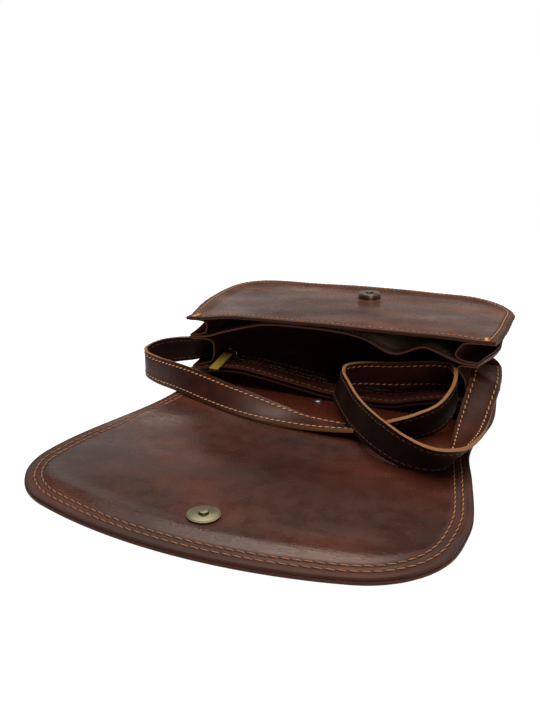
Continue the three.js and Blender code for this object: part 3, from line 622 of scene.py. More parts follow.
class Shader:
    """Nodes of a material or a world; values given to them are constants or other nodes' outputs."""

    def __init__(self, owner, surface):
        owner.use_nodes = True
        self.owner = owner
        self.tree = owner.node_tree
        self.surface = self.tree.nodes[surface]
        self.places = self.add("ShaderNodeTexCoord").outputs

    def give(self, node, values):
        for key, value in values.items():
            if isinstance(value, bpy.types.NodeSocket):
                self.tree.links.new(value, node.inputs[key])
            else:
                node.inputs[key].default_value = value
        return node

    def add(self, kind, values=None, **settings):
        node = self.tree.nodes.new(kind)
        for key, value in settings.items():
            setattr(node, key, value)
        return self.give(node, values or {})

    def finish(self, **values):
        self.give(self.surface, {key.replace("_", " "): value for key, value in values.items()})
        return self.owner

    def noise(self, stretch, turn=0.0, detail=3.0, distortion=0.0):
        values = {"Vector": self.places["Object"], "Rotation": (0, 0, turn), "Scale": stretch}
        turned = self.add("ShaderNodeMapping", values).outputs["Vector"]
        values = {"Vector": turned, "Scale": 1.0, "Detail": detail, "Distortion": distortion}
        return self.add("ShaderNodeTexNoise", values).outputs["Fac"]

    def ramp(self, value, stops):
        ramp = self.add("ShaderNodeValToRGB", {"Fac": value})
        while len(ramp.color_ramp.elements) < len(stops):
            ramp.color_ramp.elements.new(0.5)
        for element, (place, colour) in zip(ramp.color_ramp.elements, stops):
            element.position = place
            element.color = colour
        return ramp.outputs["Color"]

    def mix(self, share, first, second, blend="MIX"):
        values = {0: share, 6: first, 7: second}
        return self.add("ShaderNodeMix", values, data_type="RGBA", blend_type=blend).outputs[2]

    def blend(self, share, first, second):
        return self.add("ShaderNodeMix", {0: share, 2: first, 3: second}, data_type="FLOAT").outputs[0]

    def spread(self, value, low, high, start=0.3, end=0.7):
        values = {"Value": value, "From Min": start, "From Max": end, "To Min": low, "To Max": high}
        return self.add("ShaderNodeMapRange", values).outputs["Result"]

    def bump(self, height, distance, below=None, strength=1.0):
        values = {"Height": height, "Distance": distance, "Strength": strength}
        if below:
            values["Normal"] = below
        return self.add("ShaderNodeBump", values).outputs["Normal"]

    def attribute(self, name):
        return self.add("ShaderNodeAttribute", attribute_name=name).outputs["Fac"]


def material_shader(name):
    return Shader(bpy.data.materials.new(name), "Principled BSDF")


# Patterns of the leather: repeats per metre along X, Y and Z, and turns from its streaks in radians
CLOUDS = (70, 70, 70)
CLOUD_SHADES = [(0.3, (0.80, 0.80, 0.82, 1)), (0.7, (1.18, 1.16, 1.14, 1))]
TONE_STOPS = (0.34, 0.52, 0.68)
# Streaks of the painted sheen
SHEEN_STREAKS = (120, 700, 300)
SHEEN_STREAKS_TURN = -0.35
GRAIN = (1300, 1300, 1300)
CREASES = (90, 260, 150)
CREASES_TURN = 0.5
CREASE_SHARE = 1.3
WRINKLES = (260, 800, 450)
WRINKLES_TURN = -0.6
WRINKLE_DEPTH = 0.0004
WEAR = (110, 110, 110)
WEAR_SPREAD = 0.05
SEAM_SHARE = 0.75
SEAM_ROUGHNESS = 0.85
BLACK = (0, 0, 0, 1)
WARM_GLOSS = (1.0, 0.76, 0.6, 1.0)
# Painted sheen: lighter, greyer leather
PAINTED_SHEEN = linear(92, 74, 65)
# Painted shade: redder leather
PAINTED_SHADE_LEATHER = linear(80, 31, 17)
SEAM_LEATHER = linear(44, 17, 10)

# Pattern of the plain finishes
FINE_CLOUDS = (500, 500, 500)
CLOUDED_SHARE = 0.85
CLOUDED_SPREAD = 0.06


def leather(name, tones, streak, turn=0.0, rough=0.28, grain=0.00003, shine=0.25):
    """Mottled leather: streaks of three tones, darker and redder along its seams, with a fine grain, and a
    painted sheen and painted shade where a piece is marked for them.
    """
    shader = material_shader(name)
    streaks = shader.noise(streak, turn, distortion=0.4)
    colour = shader.ramp(streaks, [(stop, linear(*tone)) for stop, tone in zip(TONE_STOPS, tones)])
    shades = shader.ramp(shader.noise(CLOUDS, detail=4.0), CLOUD_SHADES)
    colour = shader.mix(1.0, colour, shades, "MULTIPLY")
    # Painted sheen: lighter, greyer streaks where a piece is marked for it
    sheen_streaks = shader.spread(shader.noise(SHEEN_STREAKS, turn + SHEEN_STREAKS_TURN, detail=2.0), 0.25, 1.0)
    sheen_share = shader.mix(shader.attribute("painted_sheen"), BLACK, sheen_streaks)
    colour = shader.mix(sheen_share, colour, PAINTED_SHEEN)
    # Painted shade: redder leather where a piece is marked for it
    colour = shader.mix(shader.attribute("painted_shade"), colour, PAINTED_SHADE_LEATHER)
    seam = shader.attribute("seam")
    colour = shader.mix(shader.spread(seam, 0.0, SEAM_SHARE, 0.0, 1.0), colour, SEAM_LEATHER)
    fine = shader.bump(shader.noise(GRAIN, detail=1.0), grain)
    creased = shader.noise(CREASES, turn + CREASES_TURN, detail=2.0, distortion=0.8)
    creases = shader.bump(creased, CREASE_SHARE * grain, fine)
    wrinkled = shader.noise(WRINKLES, turn + WRINKLES_TURN, detail=2.0, distortion=1.5)
    wrinkles = shader.bump(wrinkled, WRINKLE_DEPTH, creases, shader.attribute("crease"))
    worn = shader.spread(shader.noise(WEAR, detail=2.0), rough - WEAR_SPREAD, rough + WEAR_SPREAD)
    return shader.finish(
        Base_Color=colour, Roughness=shader.blend(seam, worn, SEAM_ROUGHNESS), Normal=wrinkles,
        Specular_IOR_Level=shine, Specular_Tint=WARM_GLOSS,
    )


def plain(name, tone, rough, metal=0.0, shine=0.5):
    """An even finish, slightly clouded in its tone and its roughness."""
    shader = material_shader(name)
    colour = linear(*tone)
    clouded = tuple(CLOUDED_SHARE * part for part in colour[:3]) + (1,)
    cloud = shader.noise(FINE_CLOUDS)
    return shader.finish(
        Base_Color=shader.ramp(cloud, [(0.3, clouded), (0.7, colour)]),
        Roughness=shader.spread(cloud, rough - CLOUDED_SPREAD, rough + CLOUDED_SPREAD),
        Metallic=metal, Specular_IOR_Level=shine,
    )


FLAP_LEATHER = leather("flap_leather", [(46, 27, 22), (57, 29, 20), (72, 34, 20)], (9, 24, 20), 0.25)
FRONT_LEATHER = leather(
    "front_leather", [(60, 39, 30), (76, 46, 33), (94, 55, 36)], (8, 34, 20), 0.1, grain=0.000014
)
INNER_LEATHER = leather(
    "inner_leather", [(58, 28, 22), (72, 33, 25), (88, 42, 30)], (12, 30, 20), rough=0.5, shine=0.06
)
GUSSET_LEATHER = leather(
    "gusset_leather", [(42, 25, 20), (52, 31, 24), (62, 37, 27)], (12, 30, 20), rough=0.6, shine=0.0
)
FLESH_LEATHER = leather(
    "flesh_leather", [(142, 124, 104), (158, 138, 116), (170, 150, 128)], (40, 40, 40),
    rough=0.75, shine=0.06,
)
STRAP_LEATHER = leather(
    "strap_leather", [(48, 25, 19), (56, 28, 20), (68, 34, 23)], (45, 45, 45),
    rough=0.36, grain=0.00005, shine=0.11,
)
# The strap's back: a darker copy of the strap's leather, as painted shade
SHADED_STRAP_BACK = leather(
    "shaded_strap_back", [(24, 13, 11), (29, 16, 13), (36, 20, 15)], (45, 45, 45),
    rough=0.5, grain=0.00005, shine=0.06,
)
DARK_EDGE = plain("dark_edge", (70, 40, 29), 0.55, shine=0.1)
RED_EDGE = plain("red_edge", (94, 48, 37), 0.5, shine=0.2)
TAN_EDGE = plain("tan_edge", (138, 92, 58), 0.7, shine=0.05)
GUSSET_EDGE = plain("gusset_edge", (104, 68, 47), 0.7, shine=0.1)
ORANGE_THREAD = plain("orange_thread", (200, 136, 76), 0.55, shine=0.2)
DULL_THREAD = plain("dull_thread", (162, 106, 68), 0.6, shine=0.2)
PALE_THREAD = plain("pale_thread", (198, 142, 96), 0.6, shine=0.2)
# A darker copy of the thread for the stitches inside the bag, as painted shade
SHADED_THREAD = plain("shaded_thread", (146, 104, 80), 0.7, shine=0.1)
# A darker copy of the thread for the strap's back, as painted shade
SHADED_BACK_THREAD = plain("shaded_back_thread", (88, 64, 52), 0.7, shine=0.1)
ZIP_CLOTH = plain("zip_cloth", (60, 42, 36), 0.85, shine=0.2)
BRASS = plain("brass", (112, 104, 80), 0.42, 1.0)
OLD_BRASS = plain("old_brass", (196, 166, 66), 0.4, 0.5)
BRONZE = plain("bronze", (128, 110, 94), 0.34, 1.0)
STEEL = plain("steel", (190, 188, 182), 0.3, 1.0)


# Pieces
def keep(piece, slot, *nodes):
    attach(piece, "root")
    if nodes:
        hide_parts(*nodes)
    return piece


def select(piece):
    """Makes a piece the only selected one."""
    bpy.ops.object.select_all(action="DESELECT")
    piece.select_set(True)
    bpy.context.view_layer.objects.active = piece


def apply_modifier(piece, kind, **values):
    select(piece)
    modifier = piece.modifiers.new(kind.title(), kind)
    for key, value in values.items():
        setattr(modifier, key, value)
    bpy.ops.object.modifier_apply(modifier=modifier.name)


def shade(piece, angle=40.0):
    select(piece)
    bpy.ops.object.shade_smooth_by_angle(angle=math.radians(angle))


def round_off(piece, width, segments=3, angle=30.0):
    """Rounds a piece's edges that are sharper than an angle."""
    apply_modifier(
        piece, "BEVEL", width=width, segments=segments, limit_method="ANGLE",
        angle_limit=math.radians(angle),
    )
    shade(piece)


def edit_faces(piece, test, *steps):
    """Selects a piece's faces by their middles, then runs edit steps on them."""
    select(piece)
    bpy.ops.object.mode_set(mode="EDIT")
    bpy.ops.mesh.select_mode(type="FACE")
    bpy.ops.mesh.select_all(action="DESELECT")
    edit = bmesh.from_edit_mesh(piece.data)
    for face in edit.faces:
        face.select_set(test(face.calc_center_median()))
    bmesh.update_edit_mesh(piece.data)
    for step in steps:
        step()
    bpy.ops.object.mode_set(mode="OBJECT")


def delete_faces():
    bpy.ops.mesh.delete(type="FACE")


def grid(name, columns, rows):
    """A flat grid, with each corner's own column and row value."""
    bpy.ops.object.select_all(action="DESELECT")
    bpy.ops.mesh.primitive_grid_add(x_subdivisions=len(columns) - 1, y_subdivisions=len(rows) - 1, size=2)
    piece = bpy.context.object
    piece.name = name
    spots = np.empty(len(piece.data.vertices) * 3)
    piece.data.vertices.foreach_get("co", spots)
    x, y, _ = spots.reshape(-1, 3).T
    column = np.rint((x + 1) / 2 * (len(columns) - 1)).astype(int)
    row = np.rint((y + 1) / 2 * (len(rows) - 1)).astype(int)
    return piece, np.asarray(columns)[column], np.asarray(rows)[row]


def move_to(piece, points):
    piece.data.vertices.foreach_set("co", np.ascontiguousarray(points, float).ravel())
    piece.data.update()


def mark(piece, name, amounts):
    layer = piece.data.attributes.new(name, "FLOAT", "POINT")
    layer.data.foreach_set("value", amounts)


def thicken(piece, thickness, rounding, skins):
    """Gives a sheet its thickness, with its cut edge in the second skin and its underside in the third."""
    for skin in skins:
        piece.data.materials.append(skin)
    apply_modifier(
        piece, "SOLIDIFY", thickness=thickness, offset=0.0, use_even_offset=False,
        material_offset_rim=1, material_offset=2 if len(skins) > 2 else 0,
    )
    round_off(piece, rounding, angle=50.0)


def spread_columns(count, gather):
    """Shares from -1 to 1, closer together towards both ends."""
    return np.sin(np.linspace(-1, 1, count) * gather) / math.sin(gather)


def spread_rows(stretches):
    return np.concatenate([np.linspace(*stretch) for stretch in stretches])


def patch(x, y, spot):
    """How strong a soft patch is at a point."""
    strength, (middle_x, middle_y), (reach_x, reach_y) = spot
    return strength * hump(x - middle_x, reach_x) * hump(y - middle_y, reach_y)


def nowhere(x, y):
    return np.zeros_like(x)


def divider_dark(x, y):
    """The divider's upper face is darker and redder, but for a raw patch behind the dip in its mouth."""
    behind = smooth((y - DIVIDER_MOUTH_Y - RAW_PATCH_START) / RAW_PATCH_FADE)
    return 1 - hump(x - RAW_PATCH_X, RAW_PATCH_REACH) * behind


def mouth_dark(x, y):
    return MOUTH_DARK * hump(y - MOUTH_Y, MOUTH_DARK_REACH)


def flap_creases(x, y):
    """Where the flap's leather is wrinkled: at both ends of the hinge and on the puff by its end seam."""
    end = END_CREASES * hump(y - flap_edge(x) - END_CREASES_INSET, END_CREASES_REACH)
    return np.maximum(end, np.maximum(patch(x, y, RIGHT_CREASES), patch(x, y, LEFT_CREASES)))


def flap_painted_sheen(x, y):
    """A painted sheen: a lighter, greyer, streaked wedge where the flap's left side is bent at the hinge.
    """
    below = fold_line(x) + SHEEN_EDGE - y
    along = smooth(below / SHEEN_EDGE) * smooth((SHEEN_LENGTH - below) / SHEEN_FADE)
    return along * smooth((SHEEN_RIGHT_X - x) / SHEEN_FADE)


def flap_painted_shade(x, y):
    """Painted shade: redder leather in the bag's mouth and at the right end of the hinge, where less sheen
    falls.
    """
    mouth = MOUTH_PAINTED_SHADE * smooth((y - MOUTH_PAINTED_SHADE_Y) / MOUTH_PAINTED_SHADE_FADE)
    return np.maximum(mouth, patch(x, y, RIGHT_PAINTED_SHADE))


# The flap's wrinkles, its painted sheen and its painted shade
FLAP_MARKS = {"crease": flap_creases, "painted_sheen": flap_painted_sheen, "painted_shade": flap_painted_shade}


def panel(
    name, columns, rows, height, thickness, skins, inset=0.0, rounding=LEAF_ROUNDING, seams=(),
    seam_depth=0.0, rim=None, rim_roll=0.0, dark=nowhere, marks=None, opening=None,
):
    """A leather panel over a height, with its seams, its rim, its marks of wear, painted sheen and painted
    shade, and its opening.
    """
    piece, across, side_y = grid(name, spread_columns(*columns), spread_rows(rows))
    x, y = panel_plan(across, side_y, inset)
    press = np.zeros_like(x)
    for line in seams:
        press = np.maximum(press, hump(gap_to(x, y, line), SEAM_REACH))
    points = on_surface(height, x, y)
    points[:, 2] -= seam_depth * press
    press = np.maximum(press, dark(x, y))
    if rim is not None:
        rim_gap = gap_to(x, y, rim)
        fade = smooth((y - side_y.min()) / RIM_ROLL_FADE)
        points[:, 2] -= rim_roll * fade * np.clip(1 - rim_gap / RIM_ROLL_REACH, 0, 1) ** 2
        press = np.maximum(press, RIM_DARK * hump(rim_gap, RIM_DARK_REACH))
    move_to(piece, points)
    mark(piece, "seam", press)
    for kind, amount in (marks or {}).items():
        mark(piece, kind, amount(x, y))
    if opening:
        edit_faces(piece, opening, delete_faces)
    thicken(piece, thickness, rounding, skins)
    return piece


def mesh_data(piece):
    spots = np.empty(len(piece.data.vertices) * 3)
    piece.data.vertices.foreach_get("co", spots)
    faces = [list(face.vertices) for face in piece.data.polygons]
    bpy.data.objects.remove(piece)
    return spots.reshape(-1, 3), faces


def copies(name, pattern, places, material):
    """One mesh of many copies of a pattern, each under its own 3 by 4 matrix."""
    corners, faces = pattern
    spots = np.concatenate([corners @ place[:, :3].T + place[:, 3] for place in places])
    count = len(corners)
    numbered = [[corner + n * count for corner in face] for n in range(len(places)) for face in faces]
    mesh = bpy.data.meshes.new(name)
    mesh.from_pydata(spots.tolist(), [], numbered)
    mesh.materials.append(material)
    mesh.shade_smooth()
    piece = bpy.data.objects.new(name, mesh)
    bpy.context.collection.objects.link(piece)
    return piece


def stitch_pattern():
    """A stitch of unit half size along X, its ends bent down into the leather."""
    bpy.ops.object.select_all(action="DESELECT")
    bpy.ops.mesh.primitive_uv_sphere_add(segments=8, ring_count=6, radius=1.0)
    corners, faces = mesh_data(bpy.context.object)
    corners = corners[:, [2, 0, 1]]
    corners[:, 1] += STITCH_TWIST * np.sin(math.pi * corners[:, 0])
    corners[:, 2] -= STITCH_DIP * corners[:, 0] ** 2
    return corners, faces


STITCH = stitch_pattern()


def stitch_places(line, normals, pitch, length, width, slant):
    """Places of the stitches of one row along a line in space."""
    lengths = np.r_[0, np.cumsum(np.linalg.norm(np.diff(line, axis=0), axis=1))]
    count = max(2, int(lengths[-1] / pitch))
    stops = (np.arange(count) + 0.5) * lengths[-1] / count
    ways = np.gradient(line, axis=0)
    places = []
    for stop in stops:
        spot, way, normal = (
            np.array([np.interp(stop, lengths, values[:, k]) for k in range(3)])
            for values in (line, ways, normals)
        )
        normal = unit(normal)
        way = unit(way - normal * (way @ normal))
        along = math.cos(slant) * way + math.sin(slant) * np.cross(normal, way)
        beside = np.cross(normal, along)
        axes = [along * length / 2, beside * width / 2, normal * width * STITCH_HEIGHT_SHARE]
        places.append(np.stack(axes + [spot], axis=-1))
    return places


def seam_on(height, line, above, pitch=0.0045, length=0.0038, width=0.0007, slant=-0.16):
    """Places of stitches on a surface along a line in plan, at a height over its middle."""
    x, y = line.T
    step = 0.0005
    slope_x = (height(x + step, y) - height(x - step, y)) / (2 * step)
    slope_y = (height(x, y + step) - height(x, y - step)) / (2 * step)
    normals = unit(np.stack([-slope_x, -slope_y, np.ones_like(x)], axis=-1))
    points = on_surface(height, x, y) + normals * above
    return stitch_places(points, normals, pitch, length, width, slant)


def seams_on(height, seam_lines, above, **stitch):
    return sum((seam_on(height, line, above, **stitch) for line in seam_lines), [])


# Camera
def build_camera():
    camera = bpy.data.objects.new("camera", bpy.data.cameras.new("camera"))
    camera.location = CAMERA_PLACE
    camera.rotation_euler = [math.radians(angle) for angle in CAMERA_TURN]
    camera.data.lens = CAMERA_LENS
    camera.data.clip_start = CAMERA_NEAREST
    bpy.context.collection.objects.link(camera)
    bpy.context.scene.camera = camera


# Strap: a band along its route with tan cut edges, its stitches pale on the outside and faint on the back;
# its back and the stitches there are darker, as painted shade
STRAP_FACES = [
    ("strap_stitches", 1, 0.0009, PALE_THREAD),
    ("strap_back_stitches", -1, 0.0006, SHADED_BACK_THREAD),
]


def strap_ways():
    """The strap's middle line, with its ways across the band and out of its front at each station."""
    stations = np.linspace(0, len(STRAP_ROUTE) - 1, STRAP_STATIONS)
    middle = through([row[:3] for row in STRAP_ROUTE], stations)
    leans = through([(n, row[3]) for n, row in enumerate(STRAP_ROUTE)], stations)[:, 1]
    lean = np.radians(leans)[:, None]
    forward = unit(np.gradient(middle, axis=0))
    side = unit(np.cross((0, 0, 1), forward))
    wide = side * np.cos(lean) + np.cross(forward, side) * np.sin(lean)
    return middle, wide, np.cross(forward, wide)


def build_strap():
    middle, wide, thick = strap_ways()
    stations = np.arange(len(middle))

    def root(place, share):
        """Whether a point lies past the crease at the strap's right end."""
        past_crease = middle[place, 1] - STRAP_CREASE_Y - STRAP_CREASE_SKEW * share
        at_end = place > STRAP_ROOT_SHARE * len(middle)
        return np.where(at_end, smooth(past_crease / STRAP_CREASE_FADE), 0.0)

    def on_band(place, share):
        raised = STRAP_ROOT_RISE * root(place, share)
        across = share * STRAP_WIDTH / 2
        return middle[place] + wide[place] * across[:, None] + thick[place] * raised[:, None]

    strap, share, place = grid("strap_band", STRAP_COLUMNS, stations)
    move_to(strap, on_band(place, share))
    mark(strap, "seam", STRAP_DARK * hump(np.abs(share) - STRAP_DARK_SHARE, STRAP_DARK_REACH))
    # Past the crease at its right end the strap gets a painted sheen
    mark(strap, "painted_sheen", root(place, share))
    mark(strap, "crease", STRAP_ROOT_CREASES * root(place, share))
    # The back gets the darker copy of the strap's leather, as painted shade
    thicken(strap, STRAP_THICKNESS, STRAP_ROUNDING, [SHADED_STRAP_BACK, TAN_EDGE, STRAP_LEATHER])
    keep(strap, "strap_leather", "strap")
    for name, face, width, material in STRAP_FACES:
        out = thick * face
        slant = STRAP_SEAM_SLANT * face
        stitches = []
        for row in (STRAP_SEAM_SHARE, -STRAP_SEAM_SHARE):
            line = on_band(stations, np.full(len(middle), row)) + out * STRAP_THICKNESS / 2
            stitches += stitch_places(line, out, width=width, slant=slant, **STRAP_STITCH)
        keep(copies(name, STITCH, stitches, material), "strap_leather")


# Panels with their stitched rows
def build_flap():
    outer = panel(
        "back_and_flap", OUTER_COLUMNS, OUTER_ROWS, outer_height, OUTER_THICKNESS,
        [FRONT_LEATHER, DARK_EDGE], rounding=OUTER_ROUNDING,
    )
    keep(outer, "leather", "outer_leather")
    rim = rim_line(FLAP_SEAM_START_Y, FLAP_SIDE_Y, flap_edge)
    seams = [inset_line(rim, inset) for inset in FLAP_SEAM_INSETS]
    lining = panel(
        "flap_inner_leather", PANEL_COLUMNS, LINING_ROWS, lining_middle, LINING_THICKNESS + LINING_FILL,
        [FLAP_LEATHER, DARK_EDGE], LINING_INSET, LINING_ROUNDING, seams, FLAP_SEAM_DEPTH, rim,
        marks=FLAP_MARKS,
    )
    keep(lining, "lining_leather", "flap_lining")
    places = seams_on(lining_height, seams, LINING_THICKNESS / 2, **FLAP_STITCH)
    keep(copies("flap_stitches", STITCH, places, DULL_THREAD), "lining_leather")


def tack_lines():
    """Threads of the bar tacks, side by side at both ends of the front panel's mouth."""
    start, end = TACK_ENDS
    for side in (-1, 1):
        for n in range(TACK_COUNT):
            x = side * (MOUTH_HALF_WIDTH - TACK_INSET - TACK_STEP * n)
            thread = np.array([(x, MOUTH_Y + start), (x - side * TACK_SLANT, MOUTH_Y + end)])
            yield even(thread, LINE_STEP)


def build_front():
    rim = rim_line(MOUTH_Y, BOTTOM_SIDE_Y, bottom_edge)
    rim_seam = inset_line(rim, RIM_SEAM_INSET)
    mouth_x = np.linspace(-MOUTH_HALF_WIDTH, MOUTH_HALF_WIDTH, MOUTH_POINTS)
    mouth_seam = cross_line(mouth_x[MOUTH_SEAM_TRIM:-MOUTH_SEAM_TRIM], MOUTH_Y + MOUTH_SEAM_INSET)
    front = panel(
        "front_leather_panel", PANEL_COLUMNS, FRONT_ROWS, front_height, FRONT_THICKNESS,
        [FRONT_LEATHER, DARK_EDGE, FLESH_LEATHER], rounding=FRONT_ROUNDING, seams=[rim_seam, mouth_seam],
        seam_depth=FRONT_SEAM_DEPTH, rim=rim, rim_roll=FRONT_RIM_ROLL, dark=mouth_dark,
    )
    keep(front, "leather", "front_panel")
    above = FRONT_THICKNESS / 2 + THREAD_STEP
    places = seam_on(front_height, rim_seam, above, **RIM_STITCH)
    places += seam_on(front_height, mouth_seam, above, **MOUTH_STITCH)
    places += seams_on(front_height, tack_lines(), above + THREAD_STEP, **TACK_STITCH)
    keep(copies("front_stitches", STITCH, places, ORANGE_THREAD), "leather")


def build_divider():
    mouth_x = np.linspace(-MOUTH_HALF_WIDTH, MOUTH_HALF_WIDTH, MOUTH_POINTS)
    seam = cross_line(mouth_x, DIVIDER_MOUTH_Y + DIVIDER_SEAM_INSET)
    divider = panel(
        "divider_leaf", LEAF_COLUMNS, DIVIDER_ROWS, divider_height, LEAF_THICKNESS,
        [FLESH_LEATHER, RED_EDGE, INNER_LEATHER], seams=[seam], seam_depth=LEAF_SEAM_DEPTH,
        dark=divider_dark,
    )
    keep(divider, "inner_leather", "front_divider")
    places = seam_on(divider_height, seam, LEAF_THICKNESS / 2 - THREAD_STEP)
    # The divider's stitches take the darker thread, as painted shade
    keep(copies("divider_stitches", STITCH, places, SHADED_THREAD), "inner_leather")


def over_zip(spot):
    return SLOT_START_Y < spot.y < SLOT_END_Y and abs(spot.x) < ZIP_HALF_LENGTH


def build_pocket():
    zip_x = np.linspace(-ZIP_SEAM_HALF_LENGTH, ZIP_SEAM_HALF_LENGTH, ZIP_SEAM_POINTS)
    mouth_seam_y = POCKET_MOUTH_Y + POCKET_SEAM_INSET
    zip_seams_y = (SLOT_START_Y - ZIP_SEAM_GAP, SLOT_END_Y + ZIP_SEAM_GAP)
    seams = [cross_line(zip_x, y) for y in (mouth_seam_y, *zip_seams_y)]
    upper = panel(
        "pocket_upper_leaf", LEAF_COLUMNS, POCKET_ROWS, pocket_height, LEAF_THICKNESS,
        [INNER_LEATHER, RED_EDGE], seams=seams, seam_depth=LEAF_SEAM_DEPTH, opening=over_zip,
    )
    keep(upper, "inner_leather", "zip_pocket_upper")
    places = seams_on(pocket_height, seams, LEAF_THICKNESS / 2 - THREAD_STEP)
    # The pocket's stitches take the darker thread, as painted shade
    keep(copies("pocket_stitches", STITCH, places, SHADED_THREAD), "inner_leather")
    lower = panel(
        "pocket_lower_leaf", LOWER_LEAF_COLUMNS, LOWER_LEAF_ROWS, lower_leaf_height, LEAF_THICKNESS,
        [INNER_LEATHER, DARK_EDGE],
    )
    keep(lower, "inner_leather", "zip_pocket_lower")


# Gussets: strips folded inwards between two layers, round the sides and the bottom
def gusset_path():
    """The gussets' line round the sides and the bottom: x, y and the way inwards at each point."""
    sides = np.linspace(GUSSET_MOUTH_Y, BODY_CORNER_Y, GUSSET_SIDE_POINTS)
    turns = np.linspace(0, math.pi / 2, GUSSET_TURN_POINTS)[1:]
    bottom = np.linspace(-BODY_CORNER_X, BODY_CORNER_X, GUSSET_BOTTOM_POINTS)[1:-1]
    ones, zeros = np.ones_like(bottom), np.zeros_like(bottom)
    left = np.stack([-half_width(sides), sides, np.ones_like(sides), np.zeros_like(sides)], axis=-1)
    corner = np.stack([
        -BODY_CORNER_X - BODY_CORNER_RADIUS * np.cos(turns),
        BODY_CORNER_Y + BODY_CORNER_RADIUS * np.sin(turns), np.cos(turns), -np.sin(turns),
    ], axis=-1)
    along = np.stack([bottom, BOTTOM_Y * ones, zeros, -ones], axis=-1)
    half = np.concatenate([left, corner])
    return np.concatenate([half, along, half[::-1] * (-1, 1, -1, 1)])


def build_gusset(name, low_height, low_rise, high_height, high_drop):
    folds = GUSSET_FOLDS[name]
    path = gusset_path()
    half = np.array(FOLD_HALF_SECTION)
    section = np.concatenate([half, half[::-1] * (1, -1)])
    fold = through(section, np.linspace(0, len(section) - 1, GUSSET_SECTION_POINTS))
    piece, step, place = grid(f"{name}_strip", np.arange(len(fold)), np.arange(len(path)))
    x, y, in_x, in_y = path[place].T
    depth_share, rise = fold[step].T
    down = smooth((y - GUSSET_MOUTH_Y) / (BOTTOM_Y - GUSSET_MOUTH_Y))
    side_depth = np.where(x < 0, folds["left"], folds["right"])
    depth = side_depth + (folds["bottom"] - side_depth) * down
    inward = GUSSET_EDGE_INSET + depth_share * depth
    x, y = x + in_x * inward, y + in_y * inward
    room = SEAM_GAP + GUSSET_THICKNESS / 2
    low = low_height(x, y) + low_rise + room
    high = high_height(x, y) - high_drop - room
    z = (high + low) / 2 + rise * (high - low) / 2
    move_to(piece, np.stack([x + lean_at(x, y, z), y, z], axis=-1))
    thicken(piece, GUSSET_THICKNESS, GUSSET_ROUNDING, [GUSSET_LEATHER, GUSSET_EDGE])
    keep(piece, "inner_leather", name)


def build_gussets():
    leaf = LEAF_THICKNESS / 2
    build_gusset("front_gusset", divider_height, leaf, front_height, FRONT_THICKNESS / 2)
    build_gusset("middle_gusset", pocket_height, leaf, divider_height, leaf)
    build_gusset("rear_gusset", lining_top, 0.0, lower_leaf_height, leaf)


# Hard pieces, modelled from primitives
def primitive(name, material, add, **settings):
    """A primitive whose size and place are held by its mesh."""
    bpy.ops.object.select_all(action="DESELECT")
    add(**settings)
    piece = bpy.context.object
    piece.name = name
    bpy.ops.object.transform_apply(location=True, rotation=True, scale=True)
    piece.data.materials.append(material)
    return piece


def disc(name, radius, height, material, sides=64):
    return primitive(
        name, material, bpy.ops.mesh.primitive_cylinder_add,
        vertices=sides, radius=radius, depth=height, location=(0, 0, height / 2),
    )


def block(name, size, centre, material):
    return primitive(name, material, bpy.ops.mesh.primitive_cube_add, size=1, location=centre, scale=size)


def ring(name, radius, wire, centre, turn, material):
    return primitive(
        name, material, bpy.ops.mesh.primitive_torus_add, major_radius=radius, minor_radius=wire,
        major_segments=32, minor_segments=10, location=centre, rotation=turn,
    )


def over(level):
    """A test for the faces that lie at a level or over it."""
    return lambda spot: spot.z > level - LEVEL_SLACK


def inset(distance):
    return lambda: bpy.ops.mesh.inset(thickness=distance, depth=0)


def raise_by(height):
    return lambda: bpy.ops.mesh.extrude_region_move(TRANSFORM_OT_translate={"value": (0, 0, height)})


def join(first, *others):
    bpy.ops.object.select_all(action="DESELECT")
    for piece in (first, *others):
        piece.select_set(True)
    bpy.context.view_layer.objects.active = first
    bpy.ops.object.join()
    return first


def seat(piece, place, height, thickness):
    """Moves a piece from the origin to its place on top of a panel."""
    x, y = place
    piece.data.transform(Matrix.Translation((x, y, value_at(height, x, y) + thickness / 2)))


def on_boss(spot):
    return spot.z > STUD_HEIGHT + STUD_STEP + STUD_BOSS - LEVEL_SLACK and spot.xy.length < STUD_POST_REACH


def build_stud():
    stud = disc("stud_disc", SNAP_RADIUS, STUD_HEIGHT, BRASS)
    rim = [inset(STUD_RIM), raise_by(STUD_STEP)]
    boss = [inset(STUD_RING), raise_by(STUD_BOSS)]
    edit_faces(stud, over(STUD_HEIGHT), *rim, *boss)
    edit_faces(stud, on_boss, raise_by(STUD_POST))
    round_off(stud, STUD_ROUNDING)
    seat(stud, STUD_PLACE, lining_height, LINING_THICKNESS)
    keep(stud, "brass", "snap_stud")


def build_socket():
    socket = disc("socket_disc", SNAP_RADIUS, SOCKET_HEIGHT, BRONZE)
    rim = [inset(SOCKET_RIM), raise_by(SOCKET_STEP)]
    hole = [inset(SOCKET_RING), raise_by(-SOCKET_HOLE)]
    edit_faces(socket, over(SOCKET_HEIGHT), *rim, *hole)
    round_off(socket, SOCKET_ROUNDING)
    seat(socket, SOCKET_PLACE, front_height, FRONT_THICKNESS)
    keep(socket, "bronze", "snap_socket")


def build_rivet():
    rivet = disc("rivet_head", RIVET_RADIUS, RIVET_HEIGHT, STEEL, RIVET_SIDES)
    edit_faces(rivet, over(RIVET_HEIGHT), inset(RIVET_RIM), raise_by(RIVET_CROWN))
    round_off(rivet, RIVET_ROUNDING)
    seat(rivet, RIVET_PLACE, lining_height, LINING_THICKNESS)
    keep(rivet, "steel", "inner_rivet")


